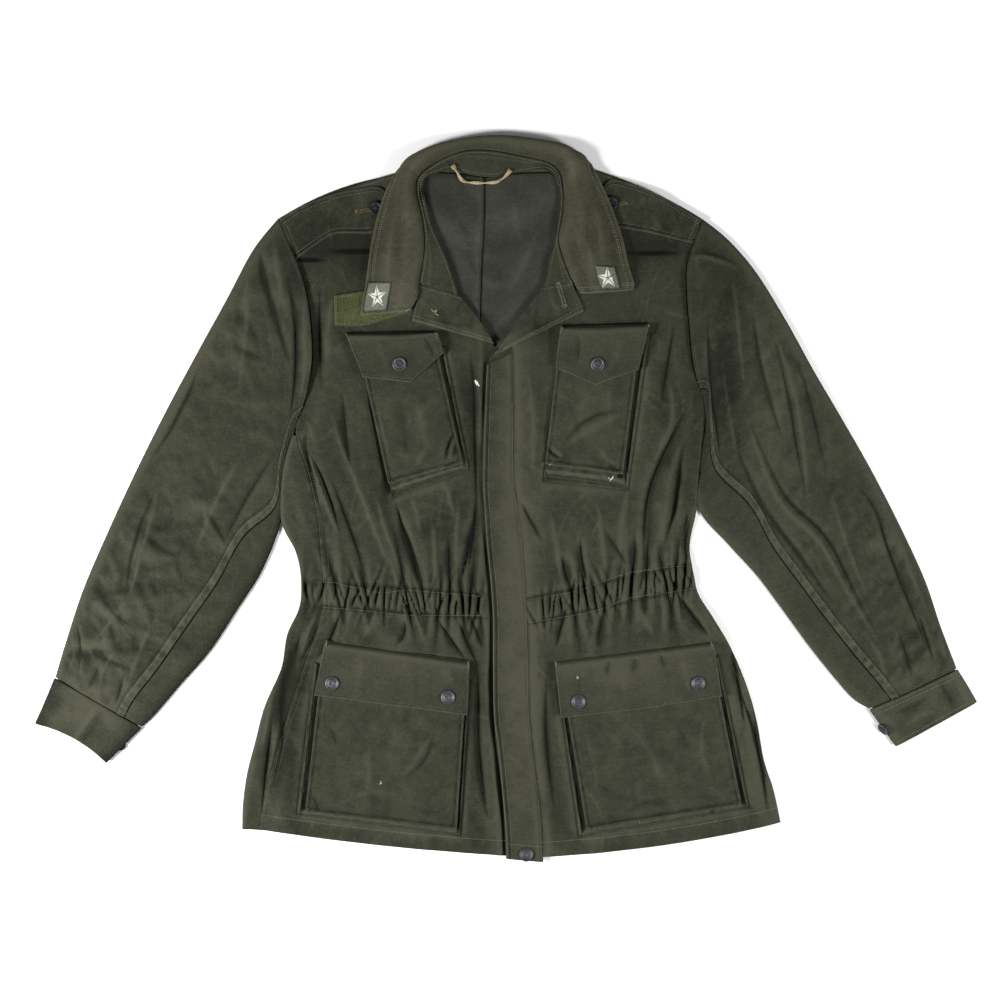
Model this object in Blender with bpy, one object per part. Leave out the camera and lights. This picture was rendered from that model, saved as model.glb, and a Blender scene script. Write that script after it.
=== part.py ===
"""A cotton field jacket lying flat on its back, open at the neck.

The cloth panels are thin closed walls laid out as a tailor would cut them. Lengths are in
millimetres until a mesh is made. +X is to the right of someone who looks down on the jacket,
+Y runs up to the collar, and the surface that the jacket lies on is z = 0. _l and _r are the
left and right of that same view.
"""
import math

import bpy
import bmesh
import numpy as np

MM = 0.001
CLOTH = 1.2          # one layer of twill
DOUBLE = 1.6         # two layers, pressed: collar, flaps, straps
FACED = 2.0          # front edge with its facing
SEAM = 0.4           # between two pieces at a seam
LIE = 0.6            # under a piece that lies on another

BACK_Z = CLOTH / 2   # middle of the back's wall
FRONT_Z = 4.6        # middle of the front's wall
SLEEVE_Z = 5.0       # middle of the top sleeve's wall
EDGE_Z = 2.2         # where the upper layer comes down on the lower one at a fold
EDGE_ROLL = 10.0     # the strip in which it comes down
FOLD = 9.0           # the strip that turns round a fold
NECK = (-13.0, 387.0)
NECK_REACH = (125.0, 95.0)
NECK_LIFT = 3.8      # the back lies over the hidden half of the collar here
OVERLAP_LIFT = 1.9   # the right front laps over the left one
OVERLAP_X = (32.0, 60.0)

OLIVE = (0.056, 0.060, 0.040)
INSIDE = (0.046, 0.047, 0.040)
TAPE_GREEN = (0.105, 0.125, 0.045)
STAR_CLOTH = (0.33, 0.36, 0.28)
KHAKI = (0.36, 0.31, 0.17)
GUNMETAL = (0.22, 0.22, 0.24)
BUTTON_BLUE = (0.015, 0.018, 0.026)

# Armholes, from the shoulder point down to the underarm.
ARMHOLE_L = [(-263, 325), (-242, 275), (-231, 240), (-225, 196), (-224, 158), (-233, 112), (-243, 75)]
ARMHOLE_R = [(227, 324), (210, 274), (209, 236), (212, 196), (216, 158), (223, 130), (232, 105)]

# Side seam of the left front, and both fronts' inner edges: neck, lapel roll, then front edge.
SEAM_L = ARMHOLE_L + [
    (-228, 25), (-218, -25), (-215, -62), (-212, -93), (-213, -126), (-221, -158), (-235, -197),
    (-250, -241), (-263, -282), (-272, -317), (-281, -352), (-286, -383)]
INNER_L = [
    (-102, 383), (-85, 314), (-56, 237), (-20, 186), (7, 143), (8, 97), (8, 56), (8, 10), (10, -42),
    (15, -83), (17, -113), (17, -141), (17, -173), (18, -213), (21, -255), (22, -297), (24, -336),
    (25, -375), (28, -415)]
SIDE_R = ARMHOLE_R + [
    (226, 39), (221, -11), (213, -54), (217, -86), (223, -111), (239, -137), (262, -176),
    (280, -220), (291, -259), (299, -303), (310, -338), (318, -375)]
INNER_R = [
    (76, 388), (65, 329), (57, 279), (37, 235), (10, 203), (-15, 170), (-22, 140), (-27, 42),
    (-25, -8), (-22, -54), (-18, -89), (-16, -115), (-15, -143), (-15, -187), (-14, -240),
    (-12, -280), (-7, -317), (-3, -355), (0, -416.5)]
FOLD_L = ARMHOLE_L[:6] + [
    (-247, 74), (-259, 27), (-260, -25), (-243, -62), (-237, -93), (-239, -126), (-253, -158),
    (-260, -197), (-279, -241), (-290, -282), (-299, -317), (-304, -352), (-305, -383)]
CENTRE_BACK = [
    (-25, 371), (-25, 329), (-28, 274), (-30, 213), (-29, 166), (-27, 114), (-25, 68), (-25, 19),
    (-24, -34), (-23, -74), (-22, -104), (-22, -133), (-22, -165), (-21, -205), (-20, -248),
    (-19, -289), (-18, -326), (-17, -364), (-16, -399)]
UNDERARM_ROW = 6     # the row of the tables above that is level with the underarm
SHOULDER_BOW = {"front_l": 6.0, "front_r": 7.0, "back_l": 24.0, "back_r": 24.0}
HEM_BOW = {"front_l": -4.0, "front_r": -8.5, "back_l": -2.0, "back_r": -4.0}
TOP_ROWS = (0.06, 0.19)  # extra rows just under the shoulder line

# Sleeve sections below the armhole: outer x, y, inner x, y, seam's share of the width, bow.
SLEEVE_L = [
    (-293, 288, -256, 50, 0.87, 24), (-324, 230, -266, 16, 0.91, 15), (-356, 172, -264, -27, 0.92, 7),
    (-393, 103, -283, -83, 0.80, 2), (-428, 33, -312, -129, 0.81, 0), (-460, -36, -343, -176, 0.79, 0),
    (-490, -106, -378, -216, 0.80, 0), (-511, -170, -407, -250, 0.78, 0), (-522, -207, -422, -264, 0.81, 0)]
SLEEVE_R = [
    (257, 300, 237, 72, 0.78, 5), (289, 263, 231, 38, 0.82, 5), (324, 207, 226, -11, 0.80, 3),
    (356, 149, 259, -54, 0.77, 0), (390, 91, 291, -89, 0.82, 0), (423, 33, 321, -129, 0.815, 0),
    (456, -31, 351, -170, 0.80, 0), (485, -94, 379, -205, 0.78, 0), (503, -147, 402, -231, 0.75, 0),
    (522, -197, 421, -243, 0.77, 0)]
ASKEW = 3            # the first two sections run askew to the seam, which then needs a wider gap
UNDERARM_SEAM = 25.0  # from the underarm to the sleeve seam, along the armhole
UNDERARM_SLEEVE = {"l": (-250.5, 75), "r": (234.8, 103.5)}
# Cuffs: outer x, y, inner x, y, bow, how far the under layer is lifted over a button.
CUFF_L = [(-522.3, -208, -422.5, -265.5, 0, 0), (-533, -234, -443, -286, 3, 3.2),
          (-544.9, -261, -463, -306, 7, 3.2)]
CUFF_R = [(522.3, -198.2, 421.5, -244.2, 0, 0), (534, -217, 437, -266, 0, 0), (545, -236, 452, -287, 0, 0)]
CUFF_Z = (1.0, 7.5)

# The largest folds: start x, y, end x, y, width, height.
BODY_FOLDS = [
    (-225, 60, -178, -80, 14, 1.8), (-175, 60, -125, -95, 16, 2.4), (-105, -30, -75, -100, 12, 1.6),
    (190, 80, 165, -75, 16, 2.4), (150, -10, 152, -85, 12, 1.6), (95, -25, 80, -95, 12, 1.4)]
SLEEVE_FOLDS = [
    (-262, 130, -330, -90, 20, 2.0), (276, 180, 268, 70, 14, 2.2), (312, 4, 430, -165, 14, 2.0),
    (420, 10, 480, -120, 14, 1.8)]

# Collar, from its left corner round the back of the neck to its right corner. Each row holds the
# seam with the stand, the top of the roll and the outer edge (x, y, z), and the lean of the roll:
# 0 where the fall lies on the front, 1 where it hangs down behind the neck.
FALL = [
    (-110, 219, 9.5, -119, 216, 11.5, -168, 212, 9.5, 0), (-102, 235, 10, -114, 233, 13, -166, 230, 9.5, 0),
    (-101, 250, 10.5, -111, 250, 14, -162, 250, 9.5, 0), (-95, 288, 11, -108, 288, 15, -157, 288, 10, 0),
    (-97, 321, 11.5, -110, 322, 15.5, -150, 321, 11.8, 0), (-104, 352, 12, -116, 354, 15.5, -141, 351, 12.5, 0),
    (-104, 366, 12, -117, 372, 15, -133, 367, 11.5, 0), (-100, 374, 12, -114, 388, 13.5, -125, 380, 8, 0.15),
    (-93, 381, 12, -107, 396, 11.5, -116, 385, 4, 0.5), (-81, 389, 12, -95, 404, 8, -104, 379, 0.8, 0.9),
    (-65, 397, 12, -75, 411, 7, -77, 358, 0.8, 1), (-42, 403, 12, -44, 417.4, 6.5, -48, 343, 0.8, 1),
    (-13, 402, 12, -7, 420, 6.5, -10, 339, 0.8, 1), (28, 394, 12, 34, 416, 6.5, 28, 342, 0.8, 1),
    (49, 389, 12, 65, 410, 7.5, 58, 355, 0.8, 1), (59, 382, 12, 79, 403, 9, 80, 388.5, 0.9, 0.9),
    (64, 373, 12, 90, 394, 11.5, 96, 389, 5, 0.5), (66, 360, 11.8, 91, 374, 14, 104, 377, 9.2, 0.1),
    (67, 346, 11.5, 86, 351, 15.5, 113, 358, 11.8, 0), (65, 325, 11, 83, 328, 15.5, 124, 332, 11.8, 0),
    (61, 300, 11, 79, 302, 15, 135, 300, 10.5, 0), (66, 279, 10.5, 81, 281, 14, 140, 277, 9.8, 0),
    (72, 263, 10, 85, 264, 13, 145, 259, 9.5, 0), (77, 252, 9.5, 88, 252, 12, 148, 248, 9.3, 0),
    (86, 237, 9.2, 97, 237, 11, 146, 241, 9.3, 0)]
# Inner edge of the stand for the rows of FALL from STAND_ROWS[0] to STAND_ROWS[1]: x, y, z.
STAND_ROWS = (2, 23)
STAND_INNER = [
    (-55, 235, 6.8), (-68, 274, 6.8), (-85, 313, 7.4), (-94, 347, 9.6), (-96, 365, 10.4), (-93, 371, 10.2),
    (-86, 374, 8.2), (-75, 378, 7.2), (-60, 381, 6.8), (-42, 375, 6.6), (-15, 372, 6.6), (17, 378, 6.6),
    (42, 381, 6.8), (53, 376, 7.4), (58, 366, 8.2), (61, 356, 8.6), (62, 341, 8.8), (60, 322, 8.6),
    (56, 295, 7.6), (50, 276, 7.2), (47, 258, 7), (44, 246, 7)]

# Lapels: outer x, y, roll x, y from the collar notch down.
LAPEL_L = [(-100.5, 247.5, -54, 232), (-104, 227, -37, 215), (-107, 212, -24, 197), (-109, 206, -14, 179)]
LAPEL_R = [(75, 250.5, 44, 243), (81, 238, 19, 214), (87, 226, 2, 189), (90, 217, -16, 164)]
# Placket: left x, y, right x, y.
PLACKET = [
    (-22, 155, 9, 170), (-24, 110, 9, 112), (-26.5, 22, 10, 22), (-25, -8, 14, -8), (-22, -54, 20, -54),
    (-17.5, -100, 23, -100), (-15, -143, 25.5, -143), (-15, -192, 27, -192), (-14, -250, 28, -248),
    (-9, -292, 32, -292), (-4.5, -338, 38, -338), (-1, -378, 42, -378), (1, -417, 43, -420.8)]

# Pockets: corners of the pocket front and of the bellows' foot, in the order top left, top right,
# bottom right, bottom left, and how high the pocket front stands.
POCKETS = {
    "chest_l": dict(front=[(-170, 172), (-80, 174), (-50, 41), (-136, 17)],
                    foot=[(-167, 172), (-71, 176), (-43, 33), (-130, 2)], rise=5.0),
    "chest_r": dict(front=[(62, 184), (155, 184), (135, 28), (45, 40)],
                    foot=[(65, 184), (166, 190), (141, 10), (44, 21)], rise=5.0),
    "skirt_l": dict(front=[(-213, -193), (-46, -211), (-57, -383), (-232, -362)],
                    foot=[(-222, -190), (-42, -211), (-53, -390), (-242, -364)], rise=6.0),
    "skirt_r": dict(front=[(65, -213), (239, -187), (272, -354), (93, -383)],
                    foot=[(60, -216), (245, -182), (281, -357), (84, -391)], rise=6.0),
}
# Flaps: the two top corners, then the lower edge from left to right with each point's share of
# the width.
FLAPS = {
    "chest_l": dict(top=[(-186, 192), (-79, 193)], low=[(0, -165, 140), (0.56, -111, 134), (1, -72, 168)]),
    "chest_r": dict(top=[(63, 200), (166, 203)], low=[(0, 57, 151), (0.47, 103, 131), (1, 153, 149)]),
    "skirt_l": dict(top=[(-209, -163), (-42, -187)], low=[(0, -221, -227), (0.5, -136, -238), (1, -45, -250)]),
    "skirt_r": dict(top=[(56, -187), (239, -164)], low=[(0, 63, -253), (0.5, 155, -243), (1, 249, -228)]),
}
SNAPS = {
    "snap_chest_l": ("chest_l", -123, 155), "snap_chest_r": ("chest_r", 105.5, 155),
    "snap_skirt_l_a": ("skirt_l", -200.5, -213), "snap_skirt_l_b": ("skirt_l", -67, -229),
    "snap_skirt_r_a": ("skirt_r", 83.5, -234), "snap_skirt_r_b": ("skirt_r", 221.5, -213)}
SNAP_HEM = (23.5, -411.5)
SNAP_D = 16.4
BUTTON_D = 15.2
BUTTON_T = 2.6
BUTTON_CUFF_L = (-448, -285)
BUTTON_TILT = 25.0   # degrees
BUTTON_RISE = 2.9

# Shoulder straps: upper x, y, lower x, y from the armhole to the point under the collar.
STRAP_L = [(-262, 322, -243, 277), (-237, 338, -221, 293), (-197, 353, -199, 306),
           (-167, 359, -173, 307), (-149, 361, -153, 308), (-135, 352, -138, 322)]
STRAP_R = [(226, 321, 216, 295), (189, 345, 189, 302), (163, 358, 160, 309),
           (140, 366, 134, 313), (122, 369, 128, 314), (108, 356, 112, 330)]
BUTTON_STRAP = {"l": (-151, 336), "r": (122, 342)}
LOOP_TAPE = [(-199, 235, -198, 200), (-165, 240, -163, 201), (-135, 244, -135, 209), (-111, 248, -109, 217)]
# Star patches as shares of the collar fall: first and last row, first and last share of the width.
STAR_PATCH = {"l": (0.55, 2.15, 0.71, 0.95), "r": (21.6, 23.6, 0.50, 0.78)}
LOOP_PATH = [(-62, 385, 10.3), (-57, 378, 9.4), (-52, 369.5, 7.8), (-44, 366, 7.0), (-27, 365.4, 6.8),
             (-13, 366, 7.0), (-4, 370, 8.0), (1, 374.5, 9.0), (5, 379.5, 10.2)]
LOOP_R = 1.2


def smooth(t):
    t = np.clip(t, 0.0, 1.0)
    return t * t * (3 - 2 * t)


def unit(v):
    return v / max(np.linalg.norm(v), 1e-9)


def folds(x, y, table):
    """Height that the large folds add at a place."""
    height = 0.0
    for x0, y0, x1, y1, width, top in table:
        along = np.array((x1 - x0, y1 - y0), float)
        length = np.linalg.norm(along)
        along = along / length
        s = (x - x0) * along[0] + (y - y0) * along[1]
        d = (x - x0) * -along[1] + (y - y0) * along[0]
        ends = smooth(s / (0.3 * length)) * smooth((length - s) / (0.3 * length))
        height += top * ends * math.exp(-(d / width) ** 2)
    return height


def neck_lift(x, y):
    d = math.hypot((x - NECK[0]) / NECK_REACH[0], (y - NECK[1]) / NECK_REACH[1])
    return NECK_LIFT * float(smooth((1 - d) / 0.4))


def back_height(x, y):
    return BACK_Z + neck_lift(x, y)


def front_height(x, y, side):
    height = FRONT_Z + neck_lift(x, y) + folds(x, y, BODY_FOLDS)
    if side == "r":
        lap = 1 - smooth((x - OVERLAP_X[0]) / (OVERLAP_X[1] - OVERLAP_X[0]))
        height += OVERLAP_LIFT * float(lap) * float(smooth((210 - y) / 40))
    return height


def roll_down(d):
    """How far the upper layer has come down at a distance d from a folded edge, from 1 to 0."""
    return 1 - math.sqrt(max(0.0, 1 - max(0.0, 1 - d / EDGE_ROLL) ** 2))


def material(name, color, roughness, metallic=0.0):
    made = bpy.data.materials.get(name)
    if made is None:
        made = bpy.data.materials.new(name)
        made.use_nodes = True
        shader = made.node_tree.nodes["Principled BSDF"]
        shader.inputs["Base Color"].default_value = (*color, 1.0)
        shader.inputs["Roughness"].default_value = roughness
        shader.inputs["Metallic"].default_value = metallic
    return made


def add_object(name, vertices, faces, paint, round_piece=False):
    mesh = bpy.data.meshes.new(name)
    mesh.from_pydata([tuple(float(c) * MM for c in v) for v in vertices], [], faces)
    mesh.validate()
    shape = bmesh.new()
    shape.from_mesh(mesh)
    bmesh.ops.recalc_face_normals(shape, faces=shape.faces)
    shape.to_mesh(mesh)
    shape.free()
    if round_piece:
        mesh.shade_smooth()
        mesh.set_sharp_from_angle(angle=math.radians(40))
    mesh.materials.append(paint)
    made = bpy.data.objects.new(name, mesh)
    bpy.context.scene.collection.objects.link(made)
    return made


def grid_normals(grid, closed):
    rows, columns = grid.shape[:2]
    normals = np.zeros_like(grid)
    for i in range(rows):
        for j in range(columns):
            down = grid[min(i + 1, rows - 1), j] - grid[max(i - 1, 0), j]
            if closed:
                across = grid[i, (j + 1) % columns] - grid[i, j - 1]
            else:
                across = grid[i, min(j + 1, columns - 1)] - grid[i, max(j - 1, 0)]
            normals[i, j] = unit(np.cross(across, down))
    return normals


def wall(name, grid, thickness, paint, closed=False):
    """A closed wall of even thickness about a grid of points; closed joins its last column to
    its first, as in a tube."""
    grid = np.array(grid, float)
    rows, columns = grid.shape[:2]
    normals = grid_normals(grid, closed)
    upper = grid + normals * thickness / 2
    lower = grid - normals * thickness / 2
    vertices = list(upper.reshape(-1, 3)) + list(lower.reshape(-1, 3))
    under = rows * columns

    def at(i, j, layer):
        return layer * under + i * columns + j % columns

    faces = []
    for i in range(rows - 1):
        for j in range(columns if closed else columns - 1):
            faces.append((at(i, j, 0), at(i, j + 1, 0), at(i + 1, j + 1, 0), at(i + 1, j, 0)))
            faces.append((at(i, j, 1), at(i + 1, j, 1), at(i + 1, j + 1, 1), at(i, j + 1, 1)))
    for j in range(columns if closed else columns - 1):
        for i in (0, rows - 1):
            faces.append((at(i, j, 0), at(i, j, 1), at(i, j + 1, 1), at(i, j + 1, 0)))
    if not closed:
        for i in range(rows - 1):
            for j in (0, columns - 1):
                faces.append((at(i, j, 0), at(i + 1, j, 0), at(i + 1, j, 1), at(i, j, 1)))
    return add_object(name, vertices, faces, paint)


def turned(name, profile, place, paint, lean=(0.0, 0.0, 1.0), sides=14):
    """A solid of revolution; profile is (radius, height) from the axis below to the axis above."""
    lean = unit(np.array(lean, float))
    side = unit(np.cross(lean, (0.0, 1.0, 0.0) if abs(lean[1]) < 0.9 else (1.0, 0.0, 0.0)))
    other = np.cross(lean, side)
    place = np.array(place, float)
    vertices, faces, rings = [], [], []
    for radius, height in profile:
        if radius == 0:
            rings.append([len(vertices)] * sides)
            vertices.append(place + lean * height)
            continue
        rings.append(list(range(len(vertices), len(vertices) + sides)))
        for k in range(sides):
            angle = 2 * math.pi * k / sides
            vertices.append(place + lean * height + radius * (side * math.cos(angle) + other * math.sin(angle)))
    for low, high in zip(rings, rings[1:]):
        for k in range(sides):
            n = (k + 1) % sides
            corners = [low[k], low[n], high[n], high[k]]
            faces.append(tuple(dict.fromkeys(corners)))
    return add_object(name, vertices, faces, paint, round_piece=True)


def with_top_rows(table):
    first, second = np.array(table[0], float), np.array(table[1], float)
    extra = [tuple(first + (second - first) * t) for t in TOP_ROWS]
    return [tuple(table[0])] + extra + [tuple(row) for row in table[1:]]


def plan_point(start, end, share, bow):
    """A point on the line from start to end, pushed up the jacket by a bow that is 0 at both."""
    start, end = np.array(start, float), np.array(end, float)
    across = end - start
    up = unit(np.array((-across[1], across[0])))
    if up[1] < 0:
        up = -up
    return start + across * share + up * bow * 4 * share * (1 - share)


def row_bow(name, i, rows):
    """The shoulder line's bow dies out below the armhole's middle, and the hem's starts low down."""
    top = SHOULDER_BOW[name] * (1 - float(smooth(i / 5)))
    return top + HEM_BOW[name] * float(smooth((i - rows + 5) / 4))


def front_panel(name, side, outer, inner, paint):
    outer, inner = with_top_rows(outer), with_top_rows(inner)
    extra = len(TOP_ROWS)
    grid = []
    for i, (edge, middle) in enumerate(zip(outer, inner)):
        width = math.dist(edge, middle)
        near = [0.0, 3 / width, EDGE_ROLL / width] if side == "r" else [0.0, 0.5 * EDGE_ROLL / width]
        shares = near + list(np.linspace(near[-1], 1, 10)[1:])
        row_number = max(0, i - extra)
        side_roll = float(smooth((row_number - UNDERARM_ROW + 1) / 2)) if side == "r" else 0.0
        top_roll = 1.0 if i == 0 else roll_down(math.dist(outer[0], edge))
        row = []
        for share in shares:
            x, y = plan_point(edge, middle, share, row_bow(name, row_number, len(SEAM_L)))
            fall = max(top_roll, side_roll * roll_down(share * width))
            z = front_height(x, y, side) - (FRONT_Z - EDGE_Z) * fall
            row.append((x, y, z))
        grid.append(row)
    return wall(name, grid, CLOTH, paint)


def back_panel(name, side, outer, centre, paint):
    """One half of the back. The left one turns round the side fold up to the side seam."""
    outer, centre = with_top_rows(outer), with_top_rows(centre)
    seam = with_top_rows(SEAM_L)
    extra = len(TOP_ROWS)
    sign = -1 if side == "l" else 1
    grid = []
    for i, (edge, middle) in enumerate(zip(outer, centre)):
        middle = (middle[0] + sign * SEAM / 2, middle[1])
        width = math.dist(edge, middle)
        row_number = max(0, i - extra)
        bow = row_bow(name, row_number, len(SEAM_L))
        below = row_number >= UNDERARM_ROW
        row = []
        if side == "l":
            stand = (FRONT_Z - BACK_Z) / 2
            reach = FOLD / 2
            if below:
                wrap = math.dist(edge, seam[i]) - SEAM
                reach = min(FOLD / 2, 0.4 * wrap)
                along = unit(np.array(seam[i], float) - edge)
                for share in (1.0, 0.5):
                    x, y = np.array(edge) + along * (reach + share * (wrap - reach))
                    row.append((x, y, FRONT_Z))
                for angle in (20, 55, 90, 125, 160):
                    x, y = np.array(edge) + along * reach * (1 - math.sin(math.radians(angle)))
                    row.append((x, y, BACK_Z + stand + stand * math.cos(math.radians(angle))))
            else:
                for k in range(7):
                    x, y = plan_point(edge, middle, k * reach / 7 / width, bow)
                    row.append((x, y, back_height(x, y)))
        start = FOLD / 2 / width if side == "l" else 0.0
        for share in np.linspace(start, 1, 8):
            x, y = plan_point(edge, middle, share, bow)
            row.append((x, y, back_height(x, y)))
        grid.append(row)
    return wall(name, grid, CLOTH, paint)


def sleeve_sections(side):
    """Rows of plan points across the sleeve, from the armhole down, with each row's seam place."""
    armhole = ARMHOLE_L if side == "l" else ARMHOLE_R
    table = SLEEVE_L if side == "l" else SLEEVE_R
    sign = -1 if side == "l" else 1
    ring = [(x + sign * SEAM, y) for x, y in armhole[:-1]] + [UNDERARM_SLEEVE[side]]
    steps = [math.dist(a, b) for a, b in zip(ring, ring[1:])]
    length = sum(steps)
    marks = [sum(steps[:k]) / length for k in range(1, len(ring) - 1)]

    def on_ring(share):
        run = share * length
        for (a, b), step in zip(zip(ring, ring[1:]), steps):
            if run <= step or b == ring[-1]:
                return np.array(a, float) + (np.array(b, float) - a) * run / step
            run -= step

    def on_row(row):
        outer, inner, bow = np.array(row[:2], float), np.array(row[2:4], float), row[5]
        across = inner - outer
        normal = unit(np.array((-across[1], across[0]))) * (1 if side == "l" else -1)
        if normal[0] * sign > 0:
            normal = -normal
        return lambda share: outer + across * share + normal * bow * 4 * share * (1 - share)

    rows = [(on_ring, length, 1 - UNDERARM_SEAM / length, ASKEW * SEAM)]
    for i, row in enumerate(table):
        width = math.dist(row[:2], row[2:4])
        gap = ASKEW * SEAM if i == 0 else SEAM
        rows.append((on_row(row), width, row[4], gap))
    return rows, marks


def sleeve_top(side, paint):
    rows, marks = sleeve_sections(side)
    first = rows[0][2]
    grid = []
    for place, width, seam, gap in rows:
        distances = [0.0, 3.0, EDGE_ROLL] + [m * width * seam / first for m in marks]
        distances.append(seam * width - gap / 2)
        row = []
        for distance in sorted(distances):
            x, y = place(distance / width)
            z = SLEEVE_Z - (SLEEVE_Z - EDGE_Z) * roll_down(distance) + folds(x, y, SLEEVE_FOLDS)
            row.append((x, y, z))
        grid.append(row)
    return wall("sleeve_top_" + side, grid, CLOTH, paint)


def sleeve_under(side, paint):
    rows, marks = sleeve_sections(side)
    first = rows[0][2]
    stand = (SLEEVE_Z - BACK_Z) / 2
    grid = []
    for place, width, seam, gap in rows:
        row = []
        turn = width - FOLD
        for distance in (seam * width + gap / 2, (seam * width + turn) / 2, turn):
            x, y = place(distance / width)
            row.append((x, y, SLEEVE_Z))
        for angle in (30, 60, 90, 120, 150):
            x, y = place((turn + FOLD * math.sin(math.radians(angle))) / width)
            row.append((x, y, BACK_Z + stand + stand * math.cos(math.radians(angle))))
        row.append((*place(turn / width), BACK_Z))
        for mark in reversed(marks):
            row.append((*place(mark * seam / first), BACK_Z))
        row.append((*place(0.0), BACK_Z))
        grid.append(row)
    return wall("sleeve_under_" + side, grid, CLOTH, paint)


def cuff(side, table, paint):
    low, high = CUFF_Z
    middle, stand = (low + high) / 2, (high - low) / 2
    grid = []
    for ox, oy, ix, iy, bow, lift in table:
        width = math.dist((ox, oy), (ix, iy))
        row = []
        upper = [(FOLD, high)] + [(s * width, high) for s in (0.3, 0.5, 0.7)] + [(width - FOLD, high)]
        turn_in = [(width - FOLD + FOLD * math.sin(math.radians(a)), middle + stand * math.cos(math.radians(a)))
                   for a in (45, 90, 135)]
        lower = [(width - s, low) for s in (FOLD, 0.3 * width, 0.5 * width, 0.7 * width, width - FOLD)]
        turn_out = [(FOLD - FOLD * math.sin(math.radians(a)), middle - stand * math.cos(math.radians(a)))
                    for a in (45, 90, 135)]
        for distance, z in upper + turn_in + lower + turn_out:
            share = distance / width
            x, y = plan_point((ox, oy), (ix, iy), share, bow)
            rise = lift * float(smooth((share - 0.5) / 0.3)) * (1 - float(smooth((z - low) / (high - low))))
            row.append((x, y, z + rise))
        grid.append(row)
    return wall("cuff_" + side, grid, FACED, paint, closed=True)


def bezier(points, t):
    a, b, c, d = points
    s = 1 - t
    return a * s ** 3 + b * 3 * s * s * t + c * 3 * s * t * t + d * t ** 3


def fall_row(row, shares):
    """Points across one section of the collar fall; share 0 is its seam, 1 its outer edge."""
    seam, roll, edge = (np.array(row[k:k + 3], float) for k in (0, 3, 6))
    lean = row[9]
    out = roll[:2] - seam[:2] if lean > 0.4 else edge[:2] - seam[:2]
    out = unit(out)
    tilt = lean * math.pi / 2
    heading = np.array((out[0] * math.cos(tilt), out[1] * math.cos(tilt), -math.sin(tilt)))
    first, second = np.linalg.norm(roll - seam), np.linalg.norm(edge - roll)
    rising = unit(unit(roll - seam) + np.array((0, 0, 0.5 - 0.3 * lean)))
    turn = (1 - lean) * 0.45 * second + lean * 0.85 * abs(roll[2] - edge[2])
    landing = unit(np.array((edge[0] - roll[0], edge[1] - roll[1], -0.05 * second * (1 - lean))))
    rise = (seam, seam + rising * 0.4 * first, roll - heading * 0.45 * first, roll)
    fall = (roll, roll + heading * turn, edge - landing * 0.35 * second, edge)
    part = 0.32
    return [bezier(rise, s / part) if s <= part else bezier(fall, (s - part) / (1 - part)) for s in shares]


FALL_SHARES = (0.0, 0.11, 0.22, 0.32, 0.42, 0.52, 0.64, 0.76, 0.88, 1.0)


def fall_point(row, share):
    """A point of the fall between its rows."""
    low = min(int(row), len(FALL) - 2)
    a = fall_row(FALL[low], [share])[0]
    b = fall_row(FALL[low + 1], [share])[0]
    return a + (b - a) * (row - low)


def collar(paint):
    wall("collar_fall", [fall_row(row, FALL_SHARES) for row in FALL], DOUBLE, paint)
    grid = []
    for row, inner in zip(FALL[STAND_ROWS[0]:STAND_ROWS[1] + 1], STAND_INNER):
        seam = np.array(row[:3], float)
        inner = np.array(inner, float)
        start = seam + unit(inner - seam) * (SEAM + 0.6)
        grid.append([start, start + (inner - start) * 0.5 - np.array((0, 0, 0.4)), inner])
    wall("collar_stand", grid, CLOTH, paint)


def strip(name, table, height, thickness, paint, columns=4, bulge=0.0):
    """A piece between two edges, laid at the height that height(x, y) gives."""
    grid = []
    for ax, ay, bx, by in table:
        row = []
        for share in np.linspace(0, 1, columns):
            x, y = ax + (bx - ax) * share, ay + (by - ay) * share
            row.append((x, y, height(x, y) + bulge * math.sin(math.pi * share)))
        grid.append(row)
    return wall(name, grid, thickness, paint)


def on_front(side, thickness, gap=LIE):
    return lambda x, y: front_height(x, y, side) + CLOTH / 2 + gap + thickness / 2


def pocket(name, paint):
    """A pocket front on bellows: three walls that lean from the jacket up to the pocket front."""
    side = name[-1]
    spec = POCKETS[name]
    ground = on_front(side, CLOTH)
    front, foot, rise = spec["front"], spec["foot"], spec["rise"]
    tl, tr, br, bl = (np.array(p, float) for p in front)
    grid = []
    for v in np.linspace(0, 1, 7):
        row = []
        for u in np.linspace(0, 1, 6):
            x, y = (tl * (1 - u) + tr * u) * (1 - v) + (bl * (1 - u) + br * u) * v
            crown = 1.5 * math.sin(math.pi * u) * math.sin(math.pi * v)
            row.append((x, y, ground(x, y) + rise + crown))
        grid.append(row)
    wall(name + "_front", grid, CLOTH, paint)
    ends = [(foot[0], front[0]), (foot[3], front[3]), (foot[2], front[2]), (foot[1], front[1])]
    grid = []
    for (low_a, high_a), (low_b, high_b) in zip(ends, ends[1:]):
        for t in (0, 0.25, 0.5, 0.75):
            low = np.array(low_a, float) * (1 - t) + np.array(low_b, float) * t
            high = np.array(high_a, float) * (1 - t) + np.array(high_b, float) * t
            grid.append((low, high))
    grid.append((np.array(ends[-1][0], float), np.array(ends[-1][1], float)))
    middle = (tl + tr + br + bl) / 4
    rows = []
    for low, high in grid:
        high = high + unit(middle - high) * 2.0
        top = ground(*high) + rise - CLOTH - SEAM - 0.4
        rows.append([(*low, ground(*low)), (*((low + high) / 2), (ground(*low) + top) / 2), (*high, top)])
    wall(name + "_bellows", rows, CLOTH, paint)


def flap_height(name, x, y, down):
    """Height of a flap's middle, down being the share of its depth below the sewn edge."""
    side = name[-1]
    sewn = on_front(side, DOUBLE)(x, y)
    lying = sewn + POCKETS[name]["rise"] + CLOTH + LIE
    return sewn + (lying - sewn) * float(smooth(down / 0.3)) + 1.2 * float(smooth(down / 0.5))


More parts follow.
